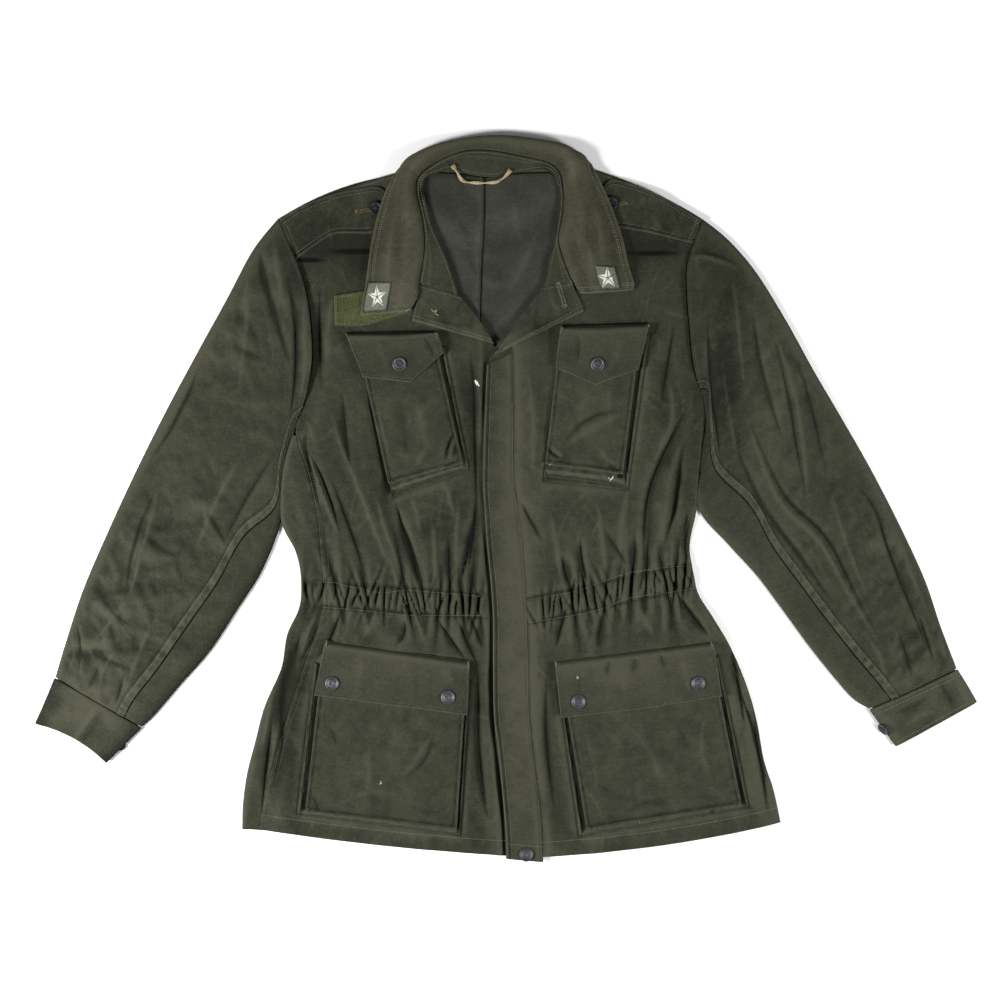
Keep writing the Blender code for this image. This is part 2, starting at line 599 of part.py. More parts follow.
def flap(name, paint):
    spec = FLAPS[name]
    left, right = (np.array(p, float) for p in spec["top"])
    shares = sorted({0.0, 0.2, 0.4, 0.6, 0.8, 1.0} | {low[0] for low in spec["low"]})
    grid = []
    for down in (0.0, 0.1, 0.2, 0.3, 0.6, 1.0):
        row = []
        for share in shares:
            xs = np.interp(share, [p[0] for p in spec["low"]], [p[1] for p in spec["low"]])
            ys = np.interp(share, [p[0] for p in spec["low"]], [p[2] for p in spec["low"]])
            top = left * (1 - share) + right * share
            x, y = top * (1 - down) + np.array((xs, ys)) * down
            row.append((x, y, flap_height(name, x, y, down)))
        grid.append(row)
    wall(name + "_flap", grid, DOUBLE, paint)


def snap_profile(diameter):
    r = diameter / 2
    return [(0, 0), (0.94 * r, 0), (r, 0.9), (0.9 * r, 1.8), (0.6 * r, 2.0), (0, 1.8)]


def button_profile(diameter, thickness):
    r = diameter / 2
    return [(0, 0), (0.85 * r, 0), (r, 0.6 * thickness), (0.86 * r, thickness), (0.6 * r, 0.7 * thickness),
            (0, 0.7 * thickness)]


def fastenings(metal, plastic):
    for name, (pocket_name, x, y) in SNAPS.items():
        z = flap_height(pocket_name, x, y, 1.0) + DOUBLE / 2 + SEAM
        turned(name, snap_profile(SNAP_D), (x, y, z), metal)
    x, y = SNAP_HEM
    z = on_front("r", FACED)(x, y) + FACED / 2 + SEAM
    turned("snap_hem", snap_profile(SNAP_D), (x, y, z), metal)
    for side, (x, y) in BUTTON_STRAP.items():
        z = on_front(side, DOUBLE)(x, y) + DOUBLE / 2 + SEAM
        turned("button_strap_" + side, button_profile(BUTTON_D, BUTTON_T), (x, y, z), plastic)
    turned("button_cuff_l", button_profile(BUTTON_D, BUTTON_T), (*BUTTON_CUFF_L, 0.2), plastic)
    button_on_cuff_edge(plastic)


def button_on_cuff_edge(plastic):
    """The right cuff's button stands on the folded edge, its face turned out and a little up."""
    above, edge, below = (np.array(row[2:4], float) for row in CUFF_R)
    run = unit(below - above)
    out = np.array((run[1], -run[0], 0.0))
    tilt = math.radians(BUTTON_TILT)
    lean = out * math.cos(tilt) + np.array((0, 0, math.sin(tilt)))
    rise = np.array((0, 0, math.cos(tilt))) - out * math.sin(tilt)
    seat = np.array((*edge, sum(CUFF_Z) / 2 + 0.5))
    place = seat + lean * (FACED / 2 + SEAM) + rise * BUTTON_RISE
    turned("button_cuff_r", button_profile(BUTTON_D, BUTTON_T), place, plastic, lean=lean)


def star_patch(side, paint):
    row_a, row_b, share_a, share_b = STAR_PATCH[side]
    grid = []
    for v in np.linspace(row_a, row_b, 4):
        grid.append([fall_point(v, u) for u in np.linspace(share_a, share_b, 4)])
    grid = np.array(grid)
    normals = grid_normals(grid, False)
    if normals[0, 0, 2] < 0:
        normals = -normals
    return wall("star_patch_" + side, grid + normals * (DOUBLE / 2 + SEAM + 0.5), 1.0, paint)


def hanger_loop(paint):
    curve = bpy.data.curves.new("hanger_loop", "CURVE")
    curve.dimensions = "3D"
    curve.bevel_depth = LOOP_R * MM
    curve.bevel_resolution = 2
    curve.use_fill_caps = True
    knots = np.array(LOOP_PATH, float)
    points = []
    for k in range(len(knots) - 1):
        before, start = knots[max(k - 1, 0)], knots[k]
        end, after = knots[k + 1], knots[min(k + 2, len(knots) - 1)]
        for t in (0.0, 0.5):
            points.append(0.5 * (2 * start + (end - before) * t
                                 + (2 * before - 5 * start + 4 * end - after) * t * t
                                 + (3 * start - before - 3 * end + after) * t ** 3))
    points.append(knots[-1])
    spline = curve.splines.new("POLY")
    spline.points.add(len(points) - 1)
    for slot, point in zip(spline.points, points):
        slot.co = (*(float(c) * MM for c in point), 1.0)
    curve.materials.append(paint)
    made = bpy.data.objects.new("hanger_loop", curve)
    bpy.context.scene.collection.objects.link(made)


def main():
    for old in list(bpy.data.objects):
        bpy.data.objects.remove(old, do_unlink=True)
    olive = material("olive_twill", OLIVE, 0.85)
    inside = material("inside_cloth", INSIDE, 0.9)
    front_panel("front_l", "l", SEAM_L, INNER_L, olive)
    front_panel("front_r", "r", SIDE_R, INNER_R, olive)
    back_panel("back_l", "l", FOLD_L, CENTRE_BACK, inside)
    back_panel("back_r", "r", SIDE_R, CENTRE_BACK, inside)
    for side in ("l", "r"):
        sleeve_top(side, olive)
        sleeve_under(side, olive)
    cuff("l", CUFF_L, olive)
    cuff("r", CUFF_R, olive)
    collar(olive)
    strip("lapel_l", LAPEL_L, on_front("l", FACED), FACED, olive, bulge=1.2)
    strip("lapel_r", LAPEL_R, on_front("r", FACED), FACED, olive, bulge=1.2)
    strip("placket", PLACKET, on_front("r", FACED), FACED, olive, columns=3)
    strip("strap_l", STRAP_L, on_front("l", DOUBLE), DOUBLE, olive)
    strip("strap_r", STRAP_R, on_front("r", DOUBLE), DOUBLE, olive)
    tape = material("tape_green", TAPE_GREEN, 0.95)
    strip("loop_tape", LOOP_TAPE, on_front("l", CLOTH), CLOTH, tape, columns=3)
    for name in POCKETS:
        pocket(name, olive)
        flap(name, olive)
    fastenings(material("gunmetal", GUNMETAL, 0.35, 1.0), material("button_blue", BUTTON_BLUE, 0.3))
    for side in ("l", "r"):
        star_patch(side, material("star_cloth", STAR_CLOTH, 0.9))
    hanger_loop(material("khaki_tape", KHAKI, 0.85))


main()
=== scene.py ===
"""The looks of a cotton safari jacket that lies flat on its back: cloth, creases, seams and fastenings.

Lengths are in millimetres until a mesh is made. +X is to the right of someone who looks down on the
jacket, +Y runs up to the collar, and the floor is z = 0. left and right are those of the same view.
"""
import math

import bmesh
import bpy
import numpy as np
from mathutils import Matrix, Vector
from mathutils.bvhtree import BVHTree


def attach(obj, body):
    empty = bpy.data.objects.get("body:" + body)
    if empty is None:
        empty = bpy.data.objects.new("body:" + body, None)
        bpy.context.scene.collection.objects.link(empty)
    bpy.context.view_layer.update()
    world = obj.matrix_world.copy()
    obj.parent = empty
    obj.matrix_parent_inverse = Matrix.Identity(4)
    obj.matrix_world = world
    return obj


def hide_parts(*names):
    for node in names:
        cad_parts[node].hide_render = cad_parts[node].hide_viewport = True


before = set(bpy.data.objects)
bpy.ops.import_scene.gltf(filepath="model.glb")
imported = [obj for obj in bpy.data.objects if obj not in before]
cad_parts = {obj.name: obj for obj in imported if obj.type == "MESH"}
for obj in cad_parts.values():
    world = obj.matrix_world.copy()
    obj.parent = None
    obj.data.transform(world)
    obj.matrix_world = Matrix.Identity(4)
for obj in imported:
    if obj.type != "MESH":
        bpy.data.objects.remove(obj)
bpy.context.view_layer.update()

MM = 0.001
SURFACES = {}        # the outer face of each finished cloth piece, as a grid of points, for its seams

# ---- cloth and layers, as cut
CLOTH = 1.2          # one layer of twill
DOUBLE = 1.6         # two layers, pressed: collar, flaps, straps
FACED = 2.0          # front edge with its facing
SEAM = 0.4           # between two pieces at a seam
LIE = 0.6            # under a piece that lies on another
BACK_Z = CLOTH / 2
FRONT_Z = 4.6        # middle of the front's cloth, and below it of the sleeves' and of its sewn edge
SLEEVE_Z = 5.0
EDGE_Z = 2.2
EDGE_ROLL = 10.0     # width over which cloth comes down to its sewn edge
FOLD = 9.0           # width of the round where cloth turns at a fold
FLOOR_GAP = 1.6      # the lowest that a crease may press the front, above the back
BODY_PUFF = 3.0      # how far the open body stands above its CAD height between its creases
NECK = (-13.0, 387.0)     # middle of the neck, how far it lifts the cloth, and how much
NECK_REACH = (125.0, 95.0)
NECK_LIFT = 3.8
OVERLAP_LIFT = 1.9   # of the right front over the left one, until between these x
OVERLAP_X = (32.0, 60.0)
SHADE_LINE_HALF = 1.3      # half the width of the painted shade line at the bottom of a crease
RIM = 0.42           # how much of its thickness a cut edge is rounded by

# Armholes, from the shoulder point down to the underarm.
ARMHOLE_L = [(-263, 325), (-242, 275), (-231, 240), (-225, 196), (-224, 158), (-233, 112), (-243, 75)]
ARMHOLE_R = [(227, 324), (210, 274), (209, 236), (212, 196), (216, 158), (223, 130), (232, 105)]
SEAM_L = ARMHOLE_L + [
    (-228, 25), (-218, -25), (-215, -62), (-212, -93), (-213, -126), (-221, -158), (-235, -197),
    (-250, -241), (-263, -282), (-272, -317), (-281, -352), (-286, -383)]
INNER_L = [
    (-102, 383), (-85, 314), (-56, 237), (-20, 186), (7, 143), (8, 97), (8, 56), (8, 10), (10, -42),
    (15, -83), (17, -113), (17, -141), (17, -173), (18, -213), (21, -255), (22, -297), (24, -336),
    (25, -375), (28, -415)]
SIDE_R = ARMHOLE_R + [
    (226, 39), (221, -11), (213, -54), (217, -86), (223, -111), (239, -137), (262, -176),
    (280, -220), (291, -259), (299, -303), (310, -338), (318, -375)]
INNER_R = [
    (76, 388), (65, 329), (57, 279), (37, 235), (10, 203), (-15, 170), (-22, 140), (-27, 42), (-25, -8),
    (-22, -54), (-18, -89), (-16, -115), (-15, -143), (-15, -187), (-14, -240), (-12, -280), (-7, -317),
    (-3, -355), (0, -416.5)]
FOLD_L = ARMHOLE_L[:6] + [
    (-247, 74), (-259, 27), (-260, -25), (-243, -62), (-237, -93), (-239, -126), (-253, -158),
    (-260, -197), (-279, -241), (-290, -282), (-299, -317), (-304, -352), (-305, -383)]
CENTRE_BACK = [
    (-25, 371), (-25, 329), (-28, 274), (-30, 213), (-29, 166), (-27, 114), (-25, 68), (-25, 19),
    (-24, -34), (-23, -74), (-22, -104), (-22, -133), (-22, -165), (-21, -205), (-20, -248), (-19, -289),
    (-18, -326), (-17, -364), (-16, -399)]
UNDERARM_ROW = 6
SHOULDER_BOW = {"front_l": 6.0, "front_r": 7.0, "back_l": 24.0, "back_r": 24.0}
HEM_BOW = {"front_l": -4.0, "front_r": -8.5, "back_l": -2.0, "back_r": -4.0}

# Sleeve sections: outer x, y, inner x, y, seam's share of the width, bow.
SLEEVE_L = [
    (-293, 288, -255.5, 50, 0.87, 24), (-324, 230, -260, 16, 0.91, 15), (-356, 172, -261.5, -27, 0.92, 7),
    (-393, 103, -283, -83, 0.80, 2), (-428, 33, -312, -129, 0.81, 0), (-460, -36, -343, -176, 0.79, 0),
    (-490, -106, -378, -216, 0.80, 0), (-511, -170, -407, -250, 0.78, 0), (-522, -207, -422, -264, 0.81, 0)]
SLEEVE_R = [
    (257, 300, 231.5, 72, 0.78, 5), (289, 263, 227.8, 38, 0.82, 5), (324, 207, 223.6, -11, 0.80, 3),
    (356, 149, 259, -54, 0.77, 0), (390, 91, 291, -89, 0.82, 0), (423, 33, 321, -129, 0.815, 0),
    (456, -31, 351, -170, 0.80, 0), (485, -94, 379, -205, 0.78, 0), (503, -147, 402, -231, 0.75, 0),
    (522, -197, 421, -243, 0.77, 0)]
UNDERARM_SEAM = 25.0     # from the underarm to the sleeve seam, along the armhole
UNDERARM_SLEEVE = {"l": (-250.5, 75), "r": (234.8, 103.5)}
CUFF_L = [
    (-522.3, -208, -422.5, -265.5, 0, 0), (-533, -234, -443, -286, 3, 3.2),
    (-544.9, -261, -463, -306, 7, 3.2)]
CUFF_R = [(522.3, -198.2, 421.5, -244.2, 0, 0), (534, -217, 437, -266, 0, 0), (545, -236, 452, -287, 0, 0)]
CUFF_Z = (1.0, 7.5)  # middles of a cuff's lower and upper wall


# ---- curves, noise and creases
def smooth(t):
    t = np.clip(t, 0.0, 1.0)
    return t * t * (3 - 2 * t)


def bell(distance, width):
    """1 at no distance, falling to nothing about two widths away."""
    return np.exp(-(distance / width) ** 2)


def blot(x, y, place):
    """1 in the middle of an oval place, 0 well outside it; the place is x, y, half width, half height."""
    px, py, wide, high = place
    return np.exp(-((x - px) / wide) ** 2 - ((y - py) / high) ** 2)


def unit(v):
    return v / np.maximum(np.linalg.norm(v, axis=-1, keepdims=True), 1e-9)


def lengths_along(points):
    """How far each point of a line lies from its first, along the line; also for the rows of a grid."""
    steps = np.linalg.norm(np.diff(points, axis=-2), axis=-1)
    return np.concatenate((0 * steps[..., :1], np.cumsum(steps, axis=-1)), axis=-1)


def read_off(places, run, values):
    """The columns of values, known at each length in run, read off at other places."""
    return np.stack([np.interp(places, run, values[:, k]) for k in range(values.shape[1])], axis=-1)


def edge_x(table, y, column=0):
    """x of an edge that runs down the jacket, at y; the table has x in this column and y in the next."""
    return np.interp(-y, [-row[column + 1] for row in table], [row[column] for row in table])


def through(table, t):
    """Values on a smooth curve through a table's rows; t counts rows from 0."""
    table = np.asarray(table, float)
    last = len(table) - 1
    t = np.clip(np.asarray(t, float), 0, last)
    k = np.minimum(t.astype(int), last - 1)
    f = (t - k)[..., None]
    before, start = table[np.maximum(k - 1, 0)], table[k]
    end, after = table[k + 1], table[np.minimum(k + 2, last)]
    return 0.5 * (2 * start + (end - before) * f + (2 * before - 5 * start + 4 * end - after) * f ** 2
                  + (3 * start - before - 3 * end + after) * f ** 3)


def even_steps(table, step):
    """Row counts at which a curve through the first two columns is cut into lengths of about step."""
    t = np.linspace(0, len(table) - 1, 60 * len(table))
    places = through(np.asarray(table, float)[:, :2], t)
    run = lengths_along(places)
    count = max(4, 2 * int(math.ceil(run[-1] / step / 2)))
    return np.interp(np.linspace(0, run[-1], count + 1), run, t)


def scattered(ix, iy, seed):
    """A fixed number from 0 to 1 for every whole ix and iy."""
    h = (ix * 374761393 + iy * 668265263 + seed * 974634777) & 0xFFFFFFFF
    h = ((h ^ (h >> 13)) * 1274126177) & 0xFFFFFFFF
    return (h ^ (h >> 16)) / 0xFFFFFFFF


def hills(x, y, size, seed):
    """Smooth uneven ground, from about -1 to 1, with hills of about the given size."""
    gx, gy = np.asarray(x, float) / size, np.asarray(y, float) / size
    ix, iy = np.floor(gx).astype(np.int64), np.floor(gy).astype(np.int64)
    fx, fy = gx - ix, gy - iy

    def corner(cx, cy):
        angle = scattered(ix + cx, iy + cy, seed) * 2 * math.pi
        return np.cos(angle) * (fx - cx) + np.sin(angle) * (fy - cy)

    wx, wy = (f * f * f * (f * (6 * f - 15) + 10) for f in (fx, fy))
    low = corner(0, 0) * (1 - wx) + corner(1, 0) * wx
    high = corner(0, 1) * (1 - wx) + corner(1, 1) * wx
    return 1.6 * (low * (1 - wy) + high * wy)


def facets(x, y, size, seed, turn=0.0, stretch=1.0):
    """Flat facets that meet in thin creases, from -1 to 1 in height; they are longer along turn."""
    c, s = math.cos(turn), math.sin(turn)
    u, v = (x * c + y * s) / stretch / size, (-x * s + y * c) / size
    u, v = u + 0.5 * hills(u, v, 1.9, seed + 7), v + 0.5 * hills(u, v, 1.9, seed + 8)
    iu, iv = np.floor(u).astype(np.int64), np.floor(v).astype(np.int64)
    fu, fv = u - iu, v - iv
    across = fu > fv
    height = scattered(iu, iv, seed) * (1 - np.maximum(fu, fv))
    height += scattered(iu + 1, iv + 1, seed) * np.minimum(fu, fv)
    height += scattered(iu + across, iv + ~across, seed) * np.abs(fu - fv)
    return 2 * height - 1


def folded(x, y, table):
    """Height of ridges and troughs, and the painted shade lines in them; a row has points, width, height
    and lean.

    lean makes one flank steep, as where cloth folds over: the left one as the points run, if above 0."""
    total, lines = np.zeros(np.shape(x)), np.zeros(np.shape(x))
    for points, width, height, lean in table:
        points = np.asarray(points, float)
        line = through(points, np.linspace(0, len(points) - 1, 1 + 6 * (len(points) - 1)))
        reach = 2.6 * width * (1 + abs(lean))
        near = ((x > line[:, 0].min() - reach) & (x < line[:, 0].max() + reach)
                & (y > line[:, 1].min() - reach) & (y < line[:, 1].max() + reach))
        if not near.any():
            continue
        px, py = x[near], y[near]
        steps = np.diff(line, axis=0)
        lengths = np.linalg.norm(steps, axis=1)
        runs = np.concatenate(([0], np.cumsum(lengths)))
        best = np.full(px.shape, 1e9)
        signed, run = np.zeros(px.shape), np.zeros(px.shape)
        for (ax, ay), (dx, dy), length, start in zip(line, steps, lengths, runs):
            s = ((px - ax) * dx + (py - ay) * dy) / length ** 2
            held = np.clip(s, 0, 1)
            away = np.hypot(px - ax - held * dx, py - ay - held * dy)
            closer = away < best
            best = np.where(closer, away, best)
            side = np.sign((px - ax) * -dy + (py - ay) * dx)
            signed = np.where(closer, away * side, signed)
            run = np.where(closer, start + held * length, run)
        share = run / runs[-1]
        ends = smooth(share / 0.42) * smooth((1 - share) / 0.42)
        steep = signed * lean > 0
        s = np.abs(signed) * np.where(steep, 1 + 6 * abs(lean), 1.0) / (width * (0.3 + 0.7 * ends))
        fold = np.exp(-1.15 * s) - np.where(steep & (height > 0), 0.4 * bell(s - 1.9, 0.6), 0.0)
        total[near] += height * ends * fold
        # painted shade: a line along the bottom of a trough, and one under the steep flank of a leaning
        # ridge
        if height < 0:
            dark = bell(signed, SHADE_LINE_HALF)
        else:
            dark = np.where(steep, bell(s - 1.9, 0.5), 0.0) * (abs(lean) > 0)
        lines[near] = np.maximum(lines[near], ends * dark * min(1, abs(height) / 2.2))
    return total, lines


def creases(x, y, table):
    return folded(x, y, table)[0]


def fine_creases(x, y, seed, turn, size=36.0, stretch=2.4):
    """Thin broken ridges that wander along turn, as where cloth was folded small."""
    c, s = math.cos(turn), math.sin(turn)
    u, v = (x * c + y * s) / stretch, -x * s + y * c
    line = bell(hills(u, v, size, seed), 0.055)
    return line * smooth((hills(x, y, 48, seed + 1) - 0.02) / 0.35)


def inside(x, y, corners, soft):
    """1 inside a convex outline given anticlockwise or clockwise, 0 outside, soft wide."""
    corners = np.asarray(corners, float)
    middle = corners.mean(axis=0)
    depth = np.full(np.shape(x), 1e9)
    for a, b in zip(corners, np.roll(corners, -1, axis=0)):
        normal = np.array((b[1] - a[1], a[0] - b[0])) / math.dist(a, b)
        if (middle - a) @ normal < 0:
            normal = -normal
        depth = np.minimum(depth, (x - a[0]) * normal[0] + (y - a[1]) * normal[1])
    return smooth(depth / soft + 0.5)


# ---- meshes
def normals_of(grid, closed=False, up=True):
    """The normals of a grid, turned so that most of them point up if up is set."""
    if closed:
        across = np.roll(grid, -1, axis=1) - np.roll(grid, 1, axis=1)
    else:
        across = np.gradient(grid, axis=1)
    down = np.gradient(grid, axis=0)
    normals = unit(np.cross(across, down))
    return -normals if up and normals[..., 2].mean() < 0 else normals


def placed(name, data):
    """An object of its own in the scene."""
    made = bpy.data.objects.new(name, data)
    bpy.context.scene.collection.objects.link(made)
    return made


def face_outwards(made):
    shape = bmesh.new()
    shape.from_mesh(made.data)
    bmesh.ops.recalc_face_normals(shape, faces=shape.faces)
    shape.to_mesh(made.data)
    shape.free()


def mesh_object(name, vertices, faces, uvs=None, smooth_angle=55):
    mesh = bpy.data.meshes.new(name)
    mesh.from_pydata(np.asarray(vertices) * MM, [], faces)
    if uvs is not None:
        layer = mesh.uv_layers.new(name="grain")
        loops = np.zeros(len(mesh.loops), dtype=np.int32)
        mesh.loops.foreach_get("vertex_index", loops)
        layer.data.foreach_set("uv", (np.asarray(uvs)[loops] * MM).ravel())
    mesh.shade_smooth()
    mesh.set_sharp_from_angle(angle=math.radians(smooth_angle))
    return placed(name, mesh)


def blurred(grid, reach, closed):
    for axis in (0, 1):
        pad = [(0, 0)] * 3
        pad[axis] = (reach, reach)
        wide = (np.pad(grid, pad, mode="wrap") if closed and axis == 1
                else np.pad(grid, pad, mode="reflect", reflect_type="odd"))
        total = np.cumsum(np.insert(wide, 0, 0, axis=axis), axis=axis)
        span, count = 2 * reach + 1, total.shape[axis]
        grid = (np.take(total, range(span, count), axis) - np.take(total, range(count - span), axis)) / span
    return grid


def ridges(grid, normals, closed):
    """1 on the crest of a crease, 0 in its valley and 0.5 on flat cloth; the twill paints crests paler and
    valleys darker from it, as painted light and shade.
    """
    total = 0.5
    cell = np.linalg.norm(np.diff(grid, axis=0), axis=2).mean()
    cell = 0.5 * (cell + np.linalg.norm(np.diff(grid, axis=1), axis=2).mean())
    for reach, height, share in ((2, 0.24 * cell, 0.28), (6, 0.75 * cell, 0.26)):
        reach = min(reach, grid.shape[0] - 1, grid.shape[1] - 1)
        soft = blurred(blurred(grid, reach, closed), reach, closed)
        total = total + share * np.clip(((grid - soft) * normals).sum(axis=2) / height, -1, 1)
    return total


def painted_shade_and_light(x, y):
    """Painted shade (below 0) and painted light (above 0) at a place, where shade and light fall on the
    cloth.
    """
    total = np.zeros(np.shape(x))
    for *place, amount in SHADE_AND_LIGHT_SPOTS:
        total += amount * blot(x, y, place)
    return total


def shell(name, grid, thickness, closed=False, grain=0.0, wear=0.0, up=True, tone=0.0, line=0.0):
    """A closed cloth wall about a grid of its middle: a fine face, a face half as fine behind it, and
    rounded cut edges. The grid has an odd number of rows, and of columns unless it is closed.
    grain turns the weave, in radians; wear is a height of rubbing, with painted sheen in places, 0 to 1,
    for each grid point; tone adds painted shade and light, and line paints shade lines."""
    grid = np.array(grid, float)
    rows, columns = grid.shape[:2]
    normals = normals_of(grid, closed, up)
    inset = grid.copy()
    pull = thickness * RIM
    for edge, inner in (((0,), (1,)), ((rows - 1,), (rows - 2,))):
        inset[edge] = grid[edge] + unit(grid[inner] - grid[edge]) * pull
    if not closed:
        for edge, inner in ((0, 1), (columns - 1, columns - 2)):
            inset[:, edge] = inset[:, edge] + unit(grid[:, inner] - grid[:, edge]) * pull
    face = inset + normals * thickness / 2
    SURFACES[name] = face
    lining = (inset - normals * thickness / 2)[::2, ::2]
    back_rows, back_columns = lining.shape[:2]
    vertices = [face.reshape(-1, 3), lining.reshape(-1, 3)]
    first_back = rows * columns
    first_rim = first_back + back_rows * back_columns

    def fine(i, j):
        return i * columns + j % columns

    def behind(i, j):
        return first_back + i * back_columns + j % back_columns

    def squares(point, high, wide, order):
        i, j = np.meshgrid(np.arange(high - 1), np.arange(wide if closed else wide - 1), indexing="ij")
        return np.stack([point(i + di, j + dj) for di, dj in order], axis=-1).reshape(-1, 4).tolist()

    faces = squares(fine, rows, columns, ((0, 0), (0, 1), (1, 1), (1, 0)))
    faces += squares(behind, back_rows, back_columns, ((0, 0), (1, 0), (1, 1), (0, 1)))
    # rounded rim: one more line of points round the edge
    if closed:
        loops = [[(r, c) for c in range(columns)] for r in (0, rows - 1)]
    else:
        loop = [(0, c) for c in range(columns)] + [(r, columns - 1) for r in range(1, rows)]
        loop += [(rows - 1, c) for c in range(columns - 2, -1, -1)]
        loop += [(r, 0) for r in range(rows - 2, 0, -1)]
        loops = [loop]
    rim_from, rim_points = first_rim, []
    for loop in loops:
        count = len(loop)
        rim_points.append(np.array([grid[r, c] for r, c in loop]))
        for k in range(count):
            (r0, c0), (r1, c1) = loop[k], loop[(k + 1) % count]
            faces.append([fine(r0, c0), rim_from + k, rim_from + (k + 1) % count, fine(r1, c1)])
        for k in range(0, count, 2):
            (r0, c0), (r1, c1) = loop[k], loop[(k + 2) % count]
            faces.append([rim_from + k, behind(r0 // 2, c0 // 2), behind(r1 // 2, c1 // 2),
                          rim_from + (k + 2) % count, rim_from + (k + 1) % count])
        rim_from += count
    vertices = np.concatenate(vertices + rim_points)
    (x, y, z), c, s = vertices.T, math.cos(grain), math.sin(grain)
    uvs = np.stack((x * c + y * s + z * 0.7, -x * s + y * c + z * 0.7), axis=1)
    made = mesh_object(name, vertices, faces, uvs)
    face_outwards(made)
    rub_and_sheen = wear + np.zeros((rows, columns))
    # painted shade and light by place, plus any painted shade given as tone
    painted_tones = 0.5 + painted_shade_and_light(grid[..., 0], grid[..., 1]) + tone
    # painted shadow, nearly black, in the deepest gaps
    for place in PAINTED_GAP_SHADOWS.get(name, ()):
        line = np.maximum(line, 0.9 * blot(grid[..., 0], grid[..., 1], place))
    # ridge carries painted light on crests and rims and painted shade in valleys; tone and line carry
    # painted shade and light
    for mark, values, edge in (("wear", rub_and_sheen, 0.3), ("ridge", ridges(grid, normals, closed), 0.1),
                               ("tone", painted_tones, 0.0), ("line", line + 0 * painted_tones, 0.0)):
        marks = np.zeros(len(vertices))
        marks[:first_back] = values.ravel()
        marks[first_back:first_rim] = values[::2, ::2].ravel()
        marks[first_rim:] = np.concatenate([[values[r, c] for r, c in loop] for loop in loops]) + edge
        made.data.attributes.new(mark, "FLOAT", "POINT").data.foreach_set("value", np.clip(marks, 0, 1))
    return made


# ---- the ground that everything lies on
# Pockets: corners of the pocket front and of the bellows' foot, in the order top left, top right,
# bottom right, bottom left, and how high the pocket front stands.
POCKETS = {
    "chest_l": dict(front=[(-170, 172), (-80, 174), (-50, 41), (-136, 17)],
                    foot=[(-167, 172), (-71, 176), (-43, 33), (-130, 2)], rise=5.0),
    "chest_r": dict(front=[(62, 184), (155, 184), (135, 28), (45, 40)],
                    foot=[(65, 184), (166, 190), (141, 10), (44, 21)], rise=5.0),
    "skirt_l": dict(front=[(-213, -193), (-46, -211), (-57, -383), (-232, -362)],
                    foot=[(-222, -190), (-42, -211), (-53, -390), (-242, -364)], rise=6.0),
    "skirt_r": dict(front=[(65, -213), (239, -187), (272, -354), (93, -383)],
                    foot=[(60, -216), (245, -182), (281, -357), (84, -391)], rise=6.0),
}
PLACKET = [
    (-22, 155, 9, 170), (-24, 110, 9, 112), (-26.5, 22, 10, 22), (-25, -8, 14, -8), (-22, -54, 20, -54),
    (-17.5, -100, 23, -100), (-15, -143, 25.5, -143), (-15, -192, 27, -192), (-14, -250, 28, -248),
    (-9, -292, 32, -292), (-4.5, -338, 38, -338), (-1, -378, 42, -378), (1, -417, 43, -420.8)]

# Painted shade and painted light, darker and paler places where shade and light fall: x, y, half width,
# half height, amount.
SHADE_AND_LIGHT_SPOTS = [
    (-200, 305, 75, 40, -0.26), (-130, 250, 45, 60, -0.12), (175, 315, 80, 38, -0.2),
    (-47, 105, 22, 60, -0.28), (-245, 200, 14, 70, -0.2), (-262, -150, 20, 60, -0.14),
    (-238, -260, 18, 110, -0.22), (-34, -290, 16, 110, -0.3), (-285, -300, 14, 90, 0.1),
    (50, -300, 16, 90, -0.12), (215, 60, 26, 120, -0.16), (255, -170, 14, 50, -0.12),
    (5, 40, 22, 150, 0.16), (10, -140, 25, 120, 0.2), (15, -320, 26, 120, 0.16), (150, -210, 110, 30, 0.16),
    (-130, -205, 100, 30, 0.12), (-330, 200, 60, 90, 0.05), (252, 150, 20, 90, -0.35),
    (310, 120, 30, 110, 0.2), (470, -140, 30, 60, -0.12), (-40, -60, 30, 60, -0.14),
    (-195, 40, 16, 60, -0.12), (-170, 284, 13, 26, -0.4), (152, 284, 9, 24, -0.25),
    (-139, 14, 4.5, 11, -0.8), (130, -200, 90, 12, 0.08), (-480, -245, 45, 26, 0.12),
    (480, -235, 45, 26, 0.14), (-252, -230, 10, 80, -0.3), (-470, -275, 12, 20, -0.1),
    (12, 30, 26, 200, 0.08), (105, 110, 60, 90, 0.1), (-275, -280, 24, 90, -0.16), (-130, 240, 50, 50, 0.1),
    (120, -50, 90, 50, 0.08), (-90, -300, 80, 70, 0.05), (-490, -240, 50, 40, 0.24),
    (-205, 290, 30, 9, -0.35), (185, 292, 24, 9, -0.3), (-138, 262, 16, 50, 0.14), (-88, 262, 22, 60, 0.12)]
# Painted shadow, nearly black, in gaps and under raised edges that lie deep in shade: x, y, half width,
# half height, on one piece.
PAINTED_GAP_SHADOWS = {
    "chest_l_bellows_cloth": [(-138, 14, 4.5, 9), (-132, 5, 5, 5)],
    "skirt_l_bellows_cloth": [(-52, -374, 3.5, 16)], "skirt_r_bellows_cloth": [(238, -360, 3, 12)],
    "chest_r_bellows_cloth": [(132, 26, 4, 4)], "collar_stand_cloth": [(-98, 352, 3, 9)],
    "back_l_cloth": [(-96, 348, 6, 12)], "front_l_cloth": [(-170, 286, 34, 3.5), (-228, 276, 18, 3)],
    "front_r_cloth": [(170, 284, 30, 3)]}

